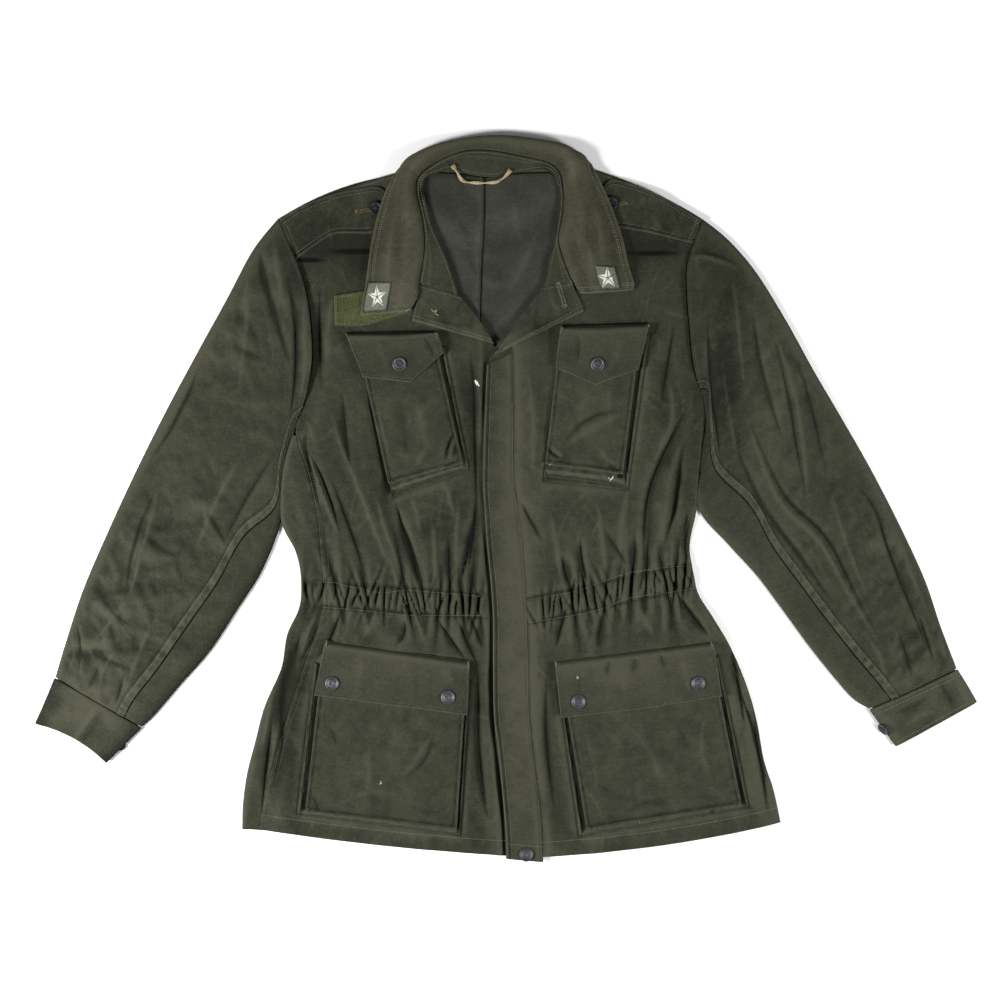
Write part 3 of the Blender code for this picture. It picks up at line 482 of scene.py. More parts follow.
# Creases of the body: points, width, height, lean.
BODY_CREASES = {
    "l": [
        ([(-236, 62), (-224, 40), (-212, 8), (-191, -48)], 7, 2.4, 0.3),
        ([(-205, 110), (-190, 60), (-165, 0), (-128, -100)], 15, 2.6, 0.0),
        ([(-152, 12), (-142, -25), (-129, -62), (-116, -112)], 9, 2.2, 0.0),
        ([(-205, 30), (-190, -10), (-172, -60), (-160, -100)], 7, -1.6, -0.2),
        ([(-123, -19), (-108, -60), (-96, -106)], 5, -2.2, 0.3),
        ([(-86, -20), (-82, -60), (-80, -104)], 8, 1.6, 0.0),
        ([(-66, -40), (-66, -70), (-66, -106)], 5, -2.0, 0.2),
        ([(-34, 12), (-38, -40), (-45, -89)], 6, -2.4, -0.3),
        ([(-54, 5), (-57, -45), (-57, -92)], 8, 1.8, 0.0),
        ([(-189, -124), (-204, -164), (-222, -190)], 6, -2.8, 0.3),
        ([(-117, -135), (-118, -158), (-131, -173)], 5, -1.6, 0.2),
        ([(-82, -135), (-66, -160), (-44, -190)], 5, -2.2, 0.3),
        ([(-59, -135), (-48, -160), (-32, -196)], 5, -2.0, -0.2),
        ([(-44, -135), (-36, -150), (-26, -176)], 4, -1.8, 0.0),
        ([(-150, -125), (-155, -145), (-168, -165)], 8, 1.4, 0.0),
        ([(-215, -125), (-226, -150), (-240, -190)], 7, 1.8, 0.2),
        ([(-32, -195), (-31, -290), (-20, -380)], 6, -3.0, 0.3),
        ([(-232, -140), (-246, -190), (-256, -250), (-262, -320)], 6, -4.2, 0.3),
        ([(-262, -170), (-272, -240), (-284, -300)], 8, 2.6, 0.0),
        ([(-270, -250), (-276, -310), (-284, -370)], 4, -3.4, 0.2),
        ([(-256, -230), (-268, -290), (-282, -360)], 8, 1.8, 0.0),
        ([(-196, 250), (-205, 200), (-208, 150)], 11, 1.6, 0.0),
        ([(-215, 255), (-216, 205), (-214, 120)], 7, -1.4, 0.0),
        ([(-50, 150), (-30, 120), (-26, 40)], 9, 1.2, 0.0),
        ([(-190, 130), (-186, 80), (-178, 20)], 9, -1.3, 0.2),
        ([(-112, 8), (-104, -14), (-98, -42)], 8, 1.3, 0.0),
        ([(-44, 185), (-38, 130), (-36, 50), (-33, -40)], 9, -2.2, 0.0),
        ([(-75, 40), (-66, 5), (-58, -30)], 10, 1.5, 0.0),
        ([(-128, 2), (-120, -30), (-108, -70), (-98, -112)], 5, -4.4, 0.4),
        ([(-38, -20), (-44, -60), (-52, -100)], 4, -3.6, 0.3),
        ([(-228, 84), (-232, 60), (-222, 20), (-214, -20)], 4, -2.6, 0.3)],
    "r": [
        ([(13, 4), (28, -25), (45, -54)], 5, -1.6, 0.0), ([(50, -10), (58, -50), (66, -100)], 8, 1.5, 0.0),
        ([(64, -62), (68, -84), (74, -106)], 4.5, -1.9, 0.0),
        ([(86, -40), (88, -71), (97, -106)], 4.5, -1.9, 0.2),
        ([(105, 0), (112, -50), (118, -98)], 9, 1.7, 0.0),
        ([(150, -40), (149, -64), (146, -92)], 5, -1.8, 0.0),
        ([(213, 114), (184, 56), (163, -2), (158, -83)], 9, -3.0, -0.3),
        ([(205, 70), (190, 20), (180, -60)], 11, 2.6, 0.2),
        ([(142, 20), (136, -20), (130, -80)], 9, 1.8, 0.0),
        ([(210, -10), (208, -40), (205, -74)], 5, -2.1, 0.0),
        ([(109, -31), (128, -58), (144, -83)], 3.5, -1.1, 0.0),
        ([(74, -118), (66, -140), (57, -176)], 6, -2.0, 0.2),
        ([(113, -129), (109, -150), (106, -176)], 5, -1.5, 0.0),
        ([(150, -120), (160, -138), (172, -160)], 8, 1.4, 0.0),
        ([(196, -106), (214, -132), (239, -164)], 7, -2.8, 0.3),
        ([(222, -112), (242, -142), (262, -176)], 6, 2.0, 0.0),
        ([(48, -190), (46, -270), (58, -380)], 6, -1.6, 0.0),
        ([(262, -200), (280, -270), (300, -350)], 8, 2.6, 0.3),
        ([(256, -150), (268, -210), (278, -280)], 5, -3.2, 0.2),
        ([(284, -230), (294, -300), (304, -370)], 4, -2.4, 0.0),
        ([(186, 150), (192, 90), (170, 40)], 9, 1.7, 0.0),
        ([(196, 210), (186, 150), (178, 100)], 7, -1.4, 0.0),
        ([(25, 150), (32, 90), (30, 20)], 8, 1.1, 0.0)],
}
# The drawn-in waist: the middle of its channel, and its tucks. Each tuck has x on the channel, its
# reach above and below, how far it drifts sideways for each mm up, its width and its depth.
CHANNEL = {"l": ((-240, -109), (-30, -124)), "r": ((22, -131), (215, -89))}
CHANNEL_HALF = 14.0
TUCK_SHADE_LINE = 0.9
TUCKS = {
    "l": [
        (-232, 30, 20, 0.0, 3.2, 1.8), (-213, 16, 26, 0.2, 3.0, 1.2), (-195, 60, 24, -0.25, 4.0, 2.4),
        (-184, 22, 34, 0.2, 3.0, 1.7), (-161, 38, 22, -0.2, 3.6, 2.1), (-140, 18, 18, 0.1, 2.6, 1.2),
        (-114, 62, 32, -0.2, 3.6, 2.3), (-95, 44, 24, -0.15, 3.0, 2.0), (-77, 34, 42, 0.1, 3.2, 1.9),
        (-66, 56, 28, 0.05, 3.0, 2.1), (-51, 38, 36, -0.1, 2.8, 1.9), (-42, 60, 30, 0.1, 3.2, 2.2),
        (-32, 28, 34, -0.15, 2.8, 1.6)],
    "r": [
        (50, 20, 16, 0.1, 2.8, 1.0), (77, 34, 46, -0.15, 3.4, 2.1), (93, 46, 20, -0.2, 3.0, 1.9),
        (115, 28, 46, 0.1, 3.2, 1.8), (130, 16, 20, 0.0, 2.6, 1.2), (146, 54, 30, 0.05, 3.4, 2.2),
        (162, 70, 24, 0.05, 3.8, 2.6), (184, 36, 50, -0.2, 3.2, 2.2), (196, 40, 42, 0.1, 3.0, 2.0),
        (206, 56, 30, 0.1, 3.0, 2.0), (214, 26, 26, 0.2, 2.6, 1.4)],
}


def neck_lift(x, y):
    d = np.hypot((x - NECK[0]) / NECK_REACH[0], (y - NECK[1]) / NECK_REACH[1])
    return NECK_LIFT * smooth((1 - d) / 0.4)


def overlap(x, y, side):
    """How high the right front stands where it lies over the left one."""
    if side == "l":
        return 0.0
    lap = 1 - smooth((x - OVERLAP_X[0]) / (OVERLAP_X[1] - OVERLAP_X[0]))
    return OVERLAP_LIFT * lap * smooth((210 - y) / 40)


def waist(x, y, side):
    """Height of the drawn-in waist and the painted shade lines of its tucks."""
    (ax, ay), (bx, by) = CHANNEL[side]
    length = math.hypot(bx - ax, by - ay)
    v = ((x - ax) * (ay - by) + (y - ay) * (bx - ax)) / length
    u = ((x - ax) * (bx - ax) + (y - ay) * (by - ay)) / length
    height = 0.9 * bell(v, 9) * (1 + 0.8 * hills(x, y * 0.4, 13, 31))
    height -= 0.9 * bell(np.abs(v) - CHANNEL_HALF, 2.0)
    draw = np.random.default_rng(31 if side == "l" else 32)
    place = 5.0
    near = np.abs(v) < 60
    nu, nv = u[near], v[near]
    small, lines = np.zeros(nu.shape), np.zeros(np.shape(x))
    thin = np.zeros(nu.shape)
    while place < length - 3:
        drift, depth, reach = draw.uniform(-0.45, 0.45), draw.uniform(1.2, 3.0), draw.uniform(9, 24)
        middle, width = draw.uniform(-8, 8), draw.uniform(1.0, 2.3)
        across = np.abs(nu - place - drift * (nv - middle)) / width
        fade = bell(nv - middle, reach)
        small -= depth * fade * (np.exp(-1.3 * across) - 0.4 * bell(across - 2.4, 1.1))
        thin = np.maximum(thin, fade ** 2 * bell(across * width, TUCK_SHADE_LINE) * depth / 3)
        place += draw.uniform(4.5, 9.0) * draw.choice((1.0, 1.0, 1.8))
    height[near] += small
    lines[near] = thin
    for place, above, below, drift, width, depth in TUCKS[side]:
        across = np.abs(x - place - drift * v) / (width * (0.6 + np.abs(v) / 55))
        fade = bell(v, np.where(v > 0, above, below))
        height -= depth * fade * (np.exp(-1.2 * across) - 0.45 * bell(across - 2.0, 0.9))
        lines = np.maximum(lines, fade ** 2 * bell(x - place - drift * v, SHADE_LINE_HALF) * depth / 2.2)
    ends = smooth((x - ax + 6) / 12) * smooth((bx + 14 - x) / 14)
    return height * ends, lines * ends


def pressed(x, y, side):
    """1 where a pocket or the placket lies on the front and keeps it flat."""
    hold = np.zeros(np.shape(x))
    for name, spec in POCKETS.items():
        if name.endswith(side):
            hold = np.maximum(hold, inside(x, y, spec["foot"], 9))
    left, right = edge_x(PLACKET, y), edge_x(PLACKET, y, 2)
    if side == "l":
        return np.maximum(hold, smooth((x - left + 8) / 9))
    return np.maximum(hold, smooth((x - left + 4) / 8) * smooth((right + 6 - x) / 10) * (y < 175))


def body_depth(x, y, side):
    """0 at a front's outer edge and 1 a little way in."""
    line = SEAM_L if side == "l" else SIDE_R
    edge = edge_x(line, y)
    return smooth(np.abs(x - edge) / 22) * smooth((y + 425) / 16)


def front_cloth(x, y, side):
    """Height of the middle of a front's cloth."""
    x, y = np.asarray(x, float), np.asarray(y, float)
    relief = 2.5 * creases(x, y, BODY_CREASES[side]) + 2.1 * waist(x, y, side)[0]
    relief += 0.9 * hills(x, y, 75, 3) + 0.45 * hills(x, y * 0.7, 31, 4) + 0.16 * hills(x, y, 11, 5)
    relief += 1.3 * facets(x, y, 46, 6, 1.4, 2.2) + 0.8 * facets(x, y, 22, 16, 1.7, 1.8)
    relief += 0.4 * fine_creases(x, y, 7, 1.2) + 0.4 * fine_creases(x, y, 9, 2.3, 50, 3.0)
    if side == "l":
        seam = edge_x(SEAM_L, y)
        relief += 0.6 * bell(x - seam, 9) * smooth((80 - y) / 20) * hills(x * 0.45, y, 7.5, 14)
    hold = pressed(x, y, side)
    relief *= 1 - 0.86 * hold
    puffed = BODY_PUFF * (1 - hold) * smooth((205 - y) / 40) * body_depth(x, y, side)
    deepest = FRONT_Z - BACK_Z - FLOOR_GAP + puffed
    relief = np.where(relief < 0, deepest * np.tanh(relief / deepest), relief)
    return FRONT_Z + neck_lift(x, y) + relief + puffed + overlap(x, y, side)


def front_shade_lines(x, y, side):
    """Painted shade lines on a front: at the bottom of its creases and tucks, and on the left front beside
    the chest pocket's left side and along the placket's left edge.
    """
    lines = np.maximum(folded(x, y, BODY_CREASES[side])[1], waist(x, y, side)[1])
    lines = lines * (1 - pressed(x, y, side))
    if side == "r":
        return lines
    left = edge_x(PLACKET, y)
    # painted shade in the gap at the chest pocket's left side
    corners = POCKETS["chest_l"]["front"]
    (ax, ay), (bx, by) = corners[0], corners[3]
    away = ((x - ax) * (by - ay) - (y - ay) * (bx - ax)) / math.dist((ax, ay), (bx, by))
    share = (ay - y) / (ay - by)
    gap = bell(away - 1.0 - 1.2 * share, 1.5 + 1.5 * np.clip(share, 0, 1) ** 3)
    lines = np.maximum(lines, gap * smooth((share - 0.25) / 0.2) * smooth((1.12 - share) / 0.12))
    # painted shadow along the placket's left edge, darker and wider towards the hem
    deep = 0.4 + 0.6 * smooth((-150 - y) / 60) + 0.5 * hills(x * 0.2, y, 45, 15)
    wide = 1.6 + 1.8 * smooth((-160 - y) / 60) * smooth((400 + y) / 120)
    return np.maximum(lines, deep * bell(x - left + 3.0, wide) * smooth((175 - y) / 20))


def on_front(side, thickness, gap=LIE):
    return lambda x, y: front_cloth(x, y, side) + CLOTH / 2 + gap + thickness / 2


# ---- fronts and back
def roll_down(d):
    return 1 - np.sqrt(np.maximum(0.0, 1 - np.maximum(0.0, 1 - d / EDGE_ROLL) ** 2))


def panel_points(start, end, share, bow):
    """Points from start to end, pushed up the jacket by a bow that is 0 at both."""
    across = end - start
    up = np.stack((-across[..., 1], across[..., 0]), axis=-1)
    up = unit(up) * np.where(up[..., 1:] < 0, -1, 1)
    return start + across * share[..., None] + up * (bow * 4 * share * (1 - share))[..., None]


def row_bow(name, t):
    last = len(SEAM_L)
    return SHOULDER_BOW[name] * (1 - smooth(t / 5)) + HEM_BOW[name] * smooth((t - last + 5) / 4)


def odd(n):
    return int(n) + 1 - int(n) % 2


def panel_grid(name, outer, inner, step, width_step):
    t = even_steps(inner, step)
    start, end = through(outer, t), through(inner, t)
    columns = odd(np.linalg.norm(end - start, axis=1).max() / width_step)
    share = np.linspace(0, 1, columns)[None, :]
    plan = panel_points(start[:, None], end[:, None], np.broadcast_to(share, (len(t), columns)),
                        row_bow(name, t)[:, None])
    return t, plan, np.linalg.norm(end - start, axis=1)[:, None] * share, np.linalg.norm(
        start - np.array(outer[0], float), axis=1)[:, None]


def front(side):
    name = "front_" + side
    outer, inner = (SEAM_L, INNER_L) if side == "l" else (SIDE_R, INNER_R)
    t, plan, from_edge, from_top = panel_grid(name, outer, inner, 2.5, 2.0)
    x, y = plan[..., 0], plan[..., 1]
    z = front_cloth(x, y, side)
    top = np.where(t[:, None] < 1e-6, 1.0, roll_down(from_top))
    side_roll = smooth((t[:, None] - UNDERARM_ROW + 1) / 2) * roll_down(from_edge) if side == "r" else 0.0
    down = np.maximum(top, side_roll)
    ground = FRONT_Z - EDGE_Z + np.maximum(0, z - FRONT_Z - neck_lift(x, y)) * 0.9
    z = z - ground * down
    wear = 0.25 * smooth(1 - from_edge / 4) * np.ones_like(z)
    return shell(name + "_cloth", np.dstack((x, y, z)), CLOTH, wear=wear, line=front_shade_lines(x, y, side))


def back(side):
    """One half of the back. The left one turns round the side fold up to the side seam."""
    name = "back_" + side
    outer = FOLD_L if side == "l" else SIDE_R
    sign = -1 if side == "l" else 1
    centre = [(x + sign * SEAM / 2, y) for x, y in CENTRE_BACK]
    t = even_steps(centre, 3.6)
    edge, middle, seam = through(outer, t), through(centre, t), through(SEAM_L, t)
    bow = row_bow(name, t)
    width = np.linalg.norm(middle - edge, axis=1)
    start = FOLD / 2 / width if side == "l" else np.zeros(len(t))
    share = start[:, None] + (1 - start[:, None]) * (1 - (1 - np.linspace(0, 1, 57)[None, :]) ** 1.7)
    plan = panel_points(edge[:, None], middle[:, None], share, bow[:, None])
    x, y = plan[..., 0], plan[..., 1]
    z = BACK_Z + neck_lift(x, y)
    # the back's own soft creases show in the neck
    shown = smooth((y - 90) / 60) * smooth((400 - y) / 30) * smooth((150 - abs(x + 10)) / 40)
    z = z + shown * np.maximum(0, 1.6 * creases(x, y, BACK_CREASES) + 0.9 * facets(x, y, 34, 12, 0.5, 1.5)
                               + 0.5 * facets(x, y, 15, 13, 2.0, 1.4) + 0.6)
    middle_x = edge_x(CENTRE_BACK, y)
    ridge = bell(x - middle_x + 3.0, 2.0) * shown
    z = z + 1.6 * ridge
    # the centre seam's ridge is paler, as rubbed cloth and as a painted highlight, and a painted shade line
    # runs beside it
    wear, line = 0.5 * ridge, 0.7 * bell(x - middle_x - 0.6, 1.1) * shown
    grid = np.dstack((x, y, z))
    if side == "r":
        return shell("back_r_cloth", grid, CLOTH, wear=wear, line=line)
    wrap = np.linalg.norm(edge - seam, axis=1) - SEAM
    reach = np.minimum(FOLD / 2, np.maximum(0.4 * wrap, 0.3))
    along = unit(seam - edge)
    turn = []
    stand = (FRONT_Z - BACK_Z) / 2
    strip = np.linspace(1, 0, 19)
    for s in strip:
        place = edge + along * (reach + s * (wrap - reach))[:, None]
        lift = front_cloth(place[:, 0], place[:, 1], "l") - FRONT_Z
        turn.append(np.column_stack((place, FRONT_Z + lift)))
    for angle in np.radians(np.arange(15, 180, 15)):
        place = edge + along * (reach * (1 - np.sin(angle)))[:, None]
        lift = (front_cloth(place[:, 0], place[:, 1], "l") - FRONT_Z) * (1 + np.cos(angle)) / 2
        turn.append(np.column_stack((place, BACK_Z + stand + stand * np.cos(angle) + lift)))
    turn = np.array(turn).transpose(1, 0, 2)
    # above the underarm the same columns lie flat under the armhole
    flat_share = np.linspace(0, 1, turn.shape[1] + 1)[None, :-1] * start[:, None]
    flat = panel_points(edge[:, None], middle[:, None], flat_share, bow[:, None])
    flat = np.dstack((flat, BACK_Z + neck_lift(flat[..., 0], flat[..., 1])))
    wrapped = (t >= UNDERARM_ROW - 1e-6)[:, None, None]
    turn = np.where(wrapped, turn, flat)
    grid = np.concatenate((turn, grid), axis=1)
    spare = turn.shape[1]
    wear, line = (np.concatenate((np.zeros((len(t), spare)), marks), axis=1) for marks in (wear, line))
    if grid.shape[1] % 2 == 0:
        grid, wear, line = (np.delete(marks, grid.shape[1] - 2, axis=1) for marks in (grid, wear, line))
    return shell("back_l_cloth", grid, CLOTH, up=False, wear=wear, line=line)


BACK_CREASES = [
    ([(-60, 300), (-20, 250), (20, 262)], 9, 1.0, 0.0), ([(40, 320), (20, 270), (-5, 230)], 8, 1.1, 0.0),
    ([(-62, 330), (-45, 300), (-40, 262)], 7, 0.9, 0.0), ([(10, 350), (14, 310), (30, 285)], 7, 0.9, 0.0)]


# ---- sleeves and cuffs
SLEEVE_CROWN = 7.0   # how far a sleeve's middle stands above its edges
SLEEVE_BAND = 9.0    # width of the felled seam along the under sleeve
SLEEVE_DEEPEST = 5.2     # the lowest that a crease may press a sleeve
SLEEVE_GRAIN = {"l": math.radians(-28), "r": math.radians(28)}
SLEEVE_CREASES = {
    "l": [
        ([(-292, 318), (-280, 260), (-263, 200), (-246, 145)], 8, -3.6, 0.2),
        ([(-270, 306), (-258, 235), (-250, 200)], 7, 2.6, 0.0),
        ([(-254, 260), (-245, 215), (-243, 180), (-244, 140), (-251, 80)], 5, -4.2, -0.2),
        ([(-236, 245), (-232, 200), (-232, 150), (-241, 100)], 7, 2.6, 0.0),
        ([(-300, 285), (-300, 200), (-310, 120)], 15, 2.6, 0.0),
        ([(-318, 180), (-296, 166), (-272, 158)], 5, -1.0, 0.0),
        ([(-345, 190), (-385, 110), (-430, 20)], 16, 2.4, 0.3),
        ([(-300, 60), (-335, -5), (-362, -70)], 12, 2.2, 0.0),
        ([(-262, 60), (-300, 0), (-330, -60)], 8, -2.0, 0.2),
        ([(-349, -10), (-336, -30), (-322, -56)], 5, -1.8, 0.0),
        ([(-425, -35), (-396, -60), (-372, -68)], 7, -1.8, 0.0),
        ([(-400, 20), (-420, -60), (-440, -130)], 12, 2.2, -0.2),
        ([(-478, -95), (-450, -135), (-425, -150)], 6, -1.8, 0.0),
        ([(-436, -112), (-456, -142), (-480, -170)], 6, 1.5, 0.0),
        ([(-490, -165), (-460, -187), (-425, -200)], 6, -2.0, 0.0),
        ([(-444, -170), (-462, -192), (-472, -218)], 6, 1.4, 0.0),
        ([(-400, -130), (-420, -170), (-440, -225)], 8, 1.9, 0.0),
        ([(-505, -150), (-500, -180), (-508, -205)], 6, 1.5, 0.0),
        ([(-498, -140), (-492, -170), (-495, -205)], 4, -2.4, 0.2),
        ([(-470, -190), (-476, -208), (-485, -224)], 4, -2.0, 0.0),
        ([(-440, -200), (-446, -222), (-452, -242)], 5, -2.2, 0.2)],
    "r": [
        ([(209, 274), (228, 281), (277, 265)], 6, 1.8, 0.3),
        ([(262, 262), (268, 200), (277, 114)], 11, 2.8, 0.0),
        ([(284, 225), (296, 150), (322, 60)], 8, -3.4, 0.3),
        ([(306, 205), (335, 114), (350, -13)], 9, 2.4, -0.2),
        ([(330, 185), (352, 110), (372, 20)], 8, -2.0, 0.0),
        ([(232, 205), (236, 140), (248, 40)], 6, -4.6, -0.3),
        ([(248, 170), (256, 110), (268, 40)], 8, 2.0, 0.0),
        ([(396, 28), (426, -12), (440, -56), (465, -119), (490, -182)], 7, -3.0, -0.3),
        ([(408, 50), (444, -10), (470, -90), (500, -160)], 9, 2.4, 0.0),
        ([(271, 110), (312, 4), (361, -48), (396, -110), (443, -185)], 10, 2.6, 0.2),
        ([(262, 70), (296, -5), (340, -66), (385, -130)], 7, -3.2, 0.3),
        ([(372, 20), (392, -50), (420, -120)], 11, 1.9, 0.0),
        ([(410, -150), (430, -180), (440, -215)], 7, 1.7, 0.0),
        ([(476, -130), (486, -160), (496, -192)], 4, -2.8, 0.2),
        ([(452, -150), (462, -180), (470, -212)], 4, -2.4, 0.0),
        ([(500, -150), (506, -172), (510, -192)], 4, 1.8, 0.0)],
}
# Crushed places of the sleeves: x, y, reach, strength.
CRUSHED = {
    "l": [(-450, -140, 75, 1.1), (-300, 165, 45, 0.5), (-380, -50, 60, 0.7), (-490, -190, 45, 0.8)],
    "r": [(430, -60, 70, 0.4), (300, 120, 80, 0.3), (470, -180, 50, 0.8)]}


def sleeve_relief(x, y, side):
    relief = 1.45 * creases(x, y, SLEEVE_CREASES[side])
    relief += 1.2 * hills(x, y, 90, 21) + 0.12 * hills(x, y, 10, 23)
    turn = math.radians(-62 if side == "l" else -118)
    force = 0.4 * np.ones(np.shape(x))
    for px, py, reach, strength in CRUSHED[side]:
        force += strength * np.exp(-((x - px) ** 2 + (y - py) ** 2) / reach ** 2)
    relief += force * (2.6 * facets(x, y, 40, 24, turn, 1.9) + 1.6 * facets(x, y, 21, 25, turn + 0.7, 1.7)
                       + 0.7 * facets(x, y, 10, 26, turn - 0.6, 1.5))
    relief += 0.22 * fine_creases(x, y, 27, turn, 50, 3.0) + 0.18 * fine_creases(x, y, 28, turn + 0.8)
    return np.where(relief < 0, SLEEVE_DEEPEST * np.tanh(relief / SLEEVE_DEEPEST), relief)


def sleeve_sections(side):
    """Ends of each section across the sleeve, as a function of a share of its width, and its seam."""
    armhole = ARMHOLE_L if side == "l" else ARMHOLE_R
    table = SLEEVE_L if side == "l" else SLEEVE_R
    sign = -1 if side == "l" else 1
    ring = np.array([(x + sign * SEAM, y) for x, y in armhole[:-1]] + [UNDERARM_SLEEVE[side]], float)
    t = np.linspace(0, len(ring) - 1, 200)
    line = through(ring, t)
    run = lengths_along(line)

    def place(share):
        """Plan points of every section at the same shares of its own width: sections x shares x 2."""
        share = np.asarray(share, float)
        rows = [read_off(share[0] * run[-1], run, line)]
        for i, (ox, oy, ix, iy, _, bow) in enumerate(table):
            outer, inner = np.array((ox, oy), float), np.array((ix, iy), float)
            across = inner - outer
            normal = np.array((-across[1], across[0])) / np.linalg.norm(across)
            if normal[0] * sign > 0:
                normal = -normal
            s = share[i + 1][:, None]
            rows.append(outer + across * s + normal * bow * 4 * s * (1 - s))
        return np.array(rows)

    widths = np.array([run[-1]] + [math.dist(row[:2], row[2:4]) for row in table])
    seams = np.array([1 - UNDERARM_SEAM / run[-1]] + [row[4] for row in table])
    return place, widths, seams


def sleeve_rows(place, widths, step, *marks):
    """Rows about a step apart down a sleeve, and marks of its sections carried on to them."""
    middle = place(np.full((len(widths), 1), 0.5))[:, 0]
    t = even_steps(middle, step)
    return [t] + [through(np.reshape(m, (len(m), -1)), t).reshape((len(t),) + m.shape[1:]) for m in marks]


def sleeve_lift(x, y, share, side):
    edge = np.sin(math.pi * np.clip(share, 0, 1))
    return SLEEVE_CROWN * edge + sleeve_relief(x, y, side) * smooth(edge / 0.35)


def sleeve_top(side):
    place, widths, seams = sleeve_sections(side)
    columns = np.linspace(0, 1, 99)
    ends = seams - 1.5 * SEAM / widths
    shares = columns[None, :] * ends[:, None]
    marks = place(shares), widths[:, None] * shares, shares
    t, plan, distance, share = sleeve_rows(place, widths, 2.4, *marks)
    x, y = plan[..., 0], plan[..., 1]
    z = SLEEVE_Z + sleeve_lift(x, y, share, side)
    z = z - (z - EDGE_Z) * roll_down(distance)
    gap = distance[:, -1:] - distance
    run = np.broadcast_to(t[:, None] * 60, gap.shape)
    band = smooth(gap / 1.2) * smooth((SLEEVE_BAND + 1 - gap) / 1.6) * smooth(t[:, None] - 0.6)
    z = z + band * (0.5 + 0.8 * hills(run, gap * 0.7, 8.5, 35)) - 0.5 * bell(gap - SLEEVE_BAND - 2, 1.2)
    wear = band * (0.16 + 0.25 * hills(run, gap, 17, 36))
    # painted shade lines in the sleeve's creases, fainter than the body's
    line = 0.35 * folded(x, y, SLEEVE_CREASES[side])[1]
    return shell("sleeve_top_%s_cloth" % side, np.dstack((x, y, z)), CLOTH, grain=SLEEVE_GRAIN[side],
                 wear=wear, line=line)


def sleeve_under(side):
    place, widths, seams = sleeve_sections(side)
    stand = (SLEEVE_Z - BACK_Z) / 2
    starts = seams + 1.5 * SEAM / widths
    turns = 1 - FOLD / widths
    rows, levels, blend = [], [], []
    for s in np.linspace(0, 1, 25):
        rows.append(starts + s * (turns - starts))
        levels.append(SLEEVE_Z)
        blend.append(1.0)
    for angle in np.radians(np.arange(15, 180, 15)):
        rows.append(turns + (1 - turns) * np.sin(angle))
        levels.append(BACK_Z + stand + stand * math.cos(angle))
        blend.append((1 + math.cos(angle)) / 2)
    for s in np.linspace(1, 0, 25):
        rows.append(turns * s)
        levels.append(BACK_Z)
        blend.append(0.0)
    shares = np.array(rows).T
    _, plan, share = sleeve_rows(place, widths, 3.2, place(shares), shares)
    x, y = plan[..., 0], plan[..., 1]
    blend, levels = np.array(blend)[None, :], np.array(levels)[None, :]
    z = levels + blend * sleeve_lift(x, y, share, side)
    return shell("sleeve_under_%s_cloth" % side, np.dstack((x, y, z)), CLOTH, grain=SLEEVE_GRAIN[side],
                 up=False)


def cuff(side):
    table = CUFF_L if side == "l" else CUFF_R
    low, high = CUFF_Z
    middle, stand = (low + high) / 2, (high - low) / 2
    t = np.linspace(0, 2, 25)
    rows = through(table, t)
    outer, inner, bow, lift = rows[:, 0:2], rows[:, 2:4], rows[:, 4], rows[:, 5]
    width = np.linalg.norm(inner - outer, axis=1)
    around = []
    for s in np.linspace(0, 1, 36):
        around.append((FOLD + s * (width - 2 * FOLD), np.full(len(t), high), 1.0))
    for a in np.radians(np.arange(20, 180, 20)):
        around.append((width - FOLD + FOLD * math.sin(a), np.full(len(t), middle + stand * math.cos(a)),
                       (1 + math.cos(a)) / 2))
    for s in np.linspace(1, 0, 36):
        around.append((FOLD + s * (width - 2 * FOLD), np.full(len(t), low), 0.0))
    for a in np.radians(np.arange(160, 0, -20)):
        around.append((FOLD - FOLD * math.sin(a), np.full(len(t), middle + stand * math.cos(a)),
                       (1 + math.cos(a)) / 2))
    columns = []
    for distance, z, top in around:
        share = distance / width
        plan = panel_points(outer, inner, share, bow)
        rise = lift * smooth((share - 0.5) / 0.3) * (1 - top)
        x, y = plan[:, 0], plan[:, 1]
        waves = creases(x, y, CUFF_CREASES[side]) + 0.5 * hills(x, y, 22, 41)
        columns.append(np.column_stack((plan, z + rise + top * (1.2 * np.sin(math.pi * share) + waves))))
    grid = np.array(columns).transpose(1, 0, 2)
    if grid.shape[1] % 2:
        raise ValueError("a closed wall needs an even number of columns")
    angle = math.radians(-30 if side == "l" else 26)
    return shell("cuff_%s_cloth" % side, grid, FACED, closed=True, grain=angle, up=False)


CUFF_CREASES = {
    "l": [
        ([(-468, -238), (-484, -258), (-502, -284)], 5, -3.4, 0.3),
        ([(-462, -240), (-478, -262), (-494, -290)], 7, 1.6, 0.0),
        ([(-512, -222), (-520, -240), (-530, -256)], 9, 1.0, 0.0)],
    "r": [
        ([(500, -208), (512, -230), (520, -245)], 7, -1.6, 0.0),
        ([(440, -250), (470, -240), (496, -224)], 9, -1.6, 0.2),
        ([(462, -262), (480, -250), (500, -246)], 6, 1.3, 0.0)],
}


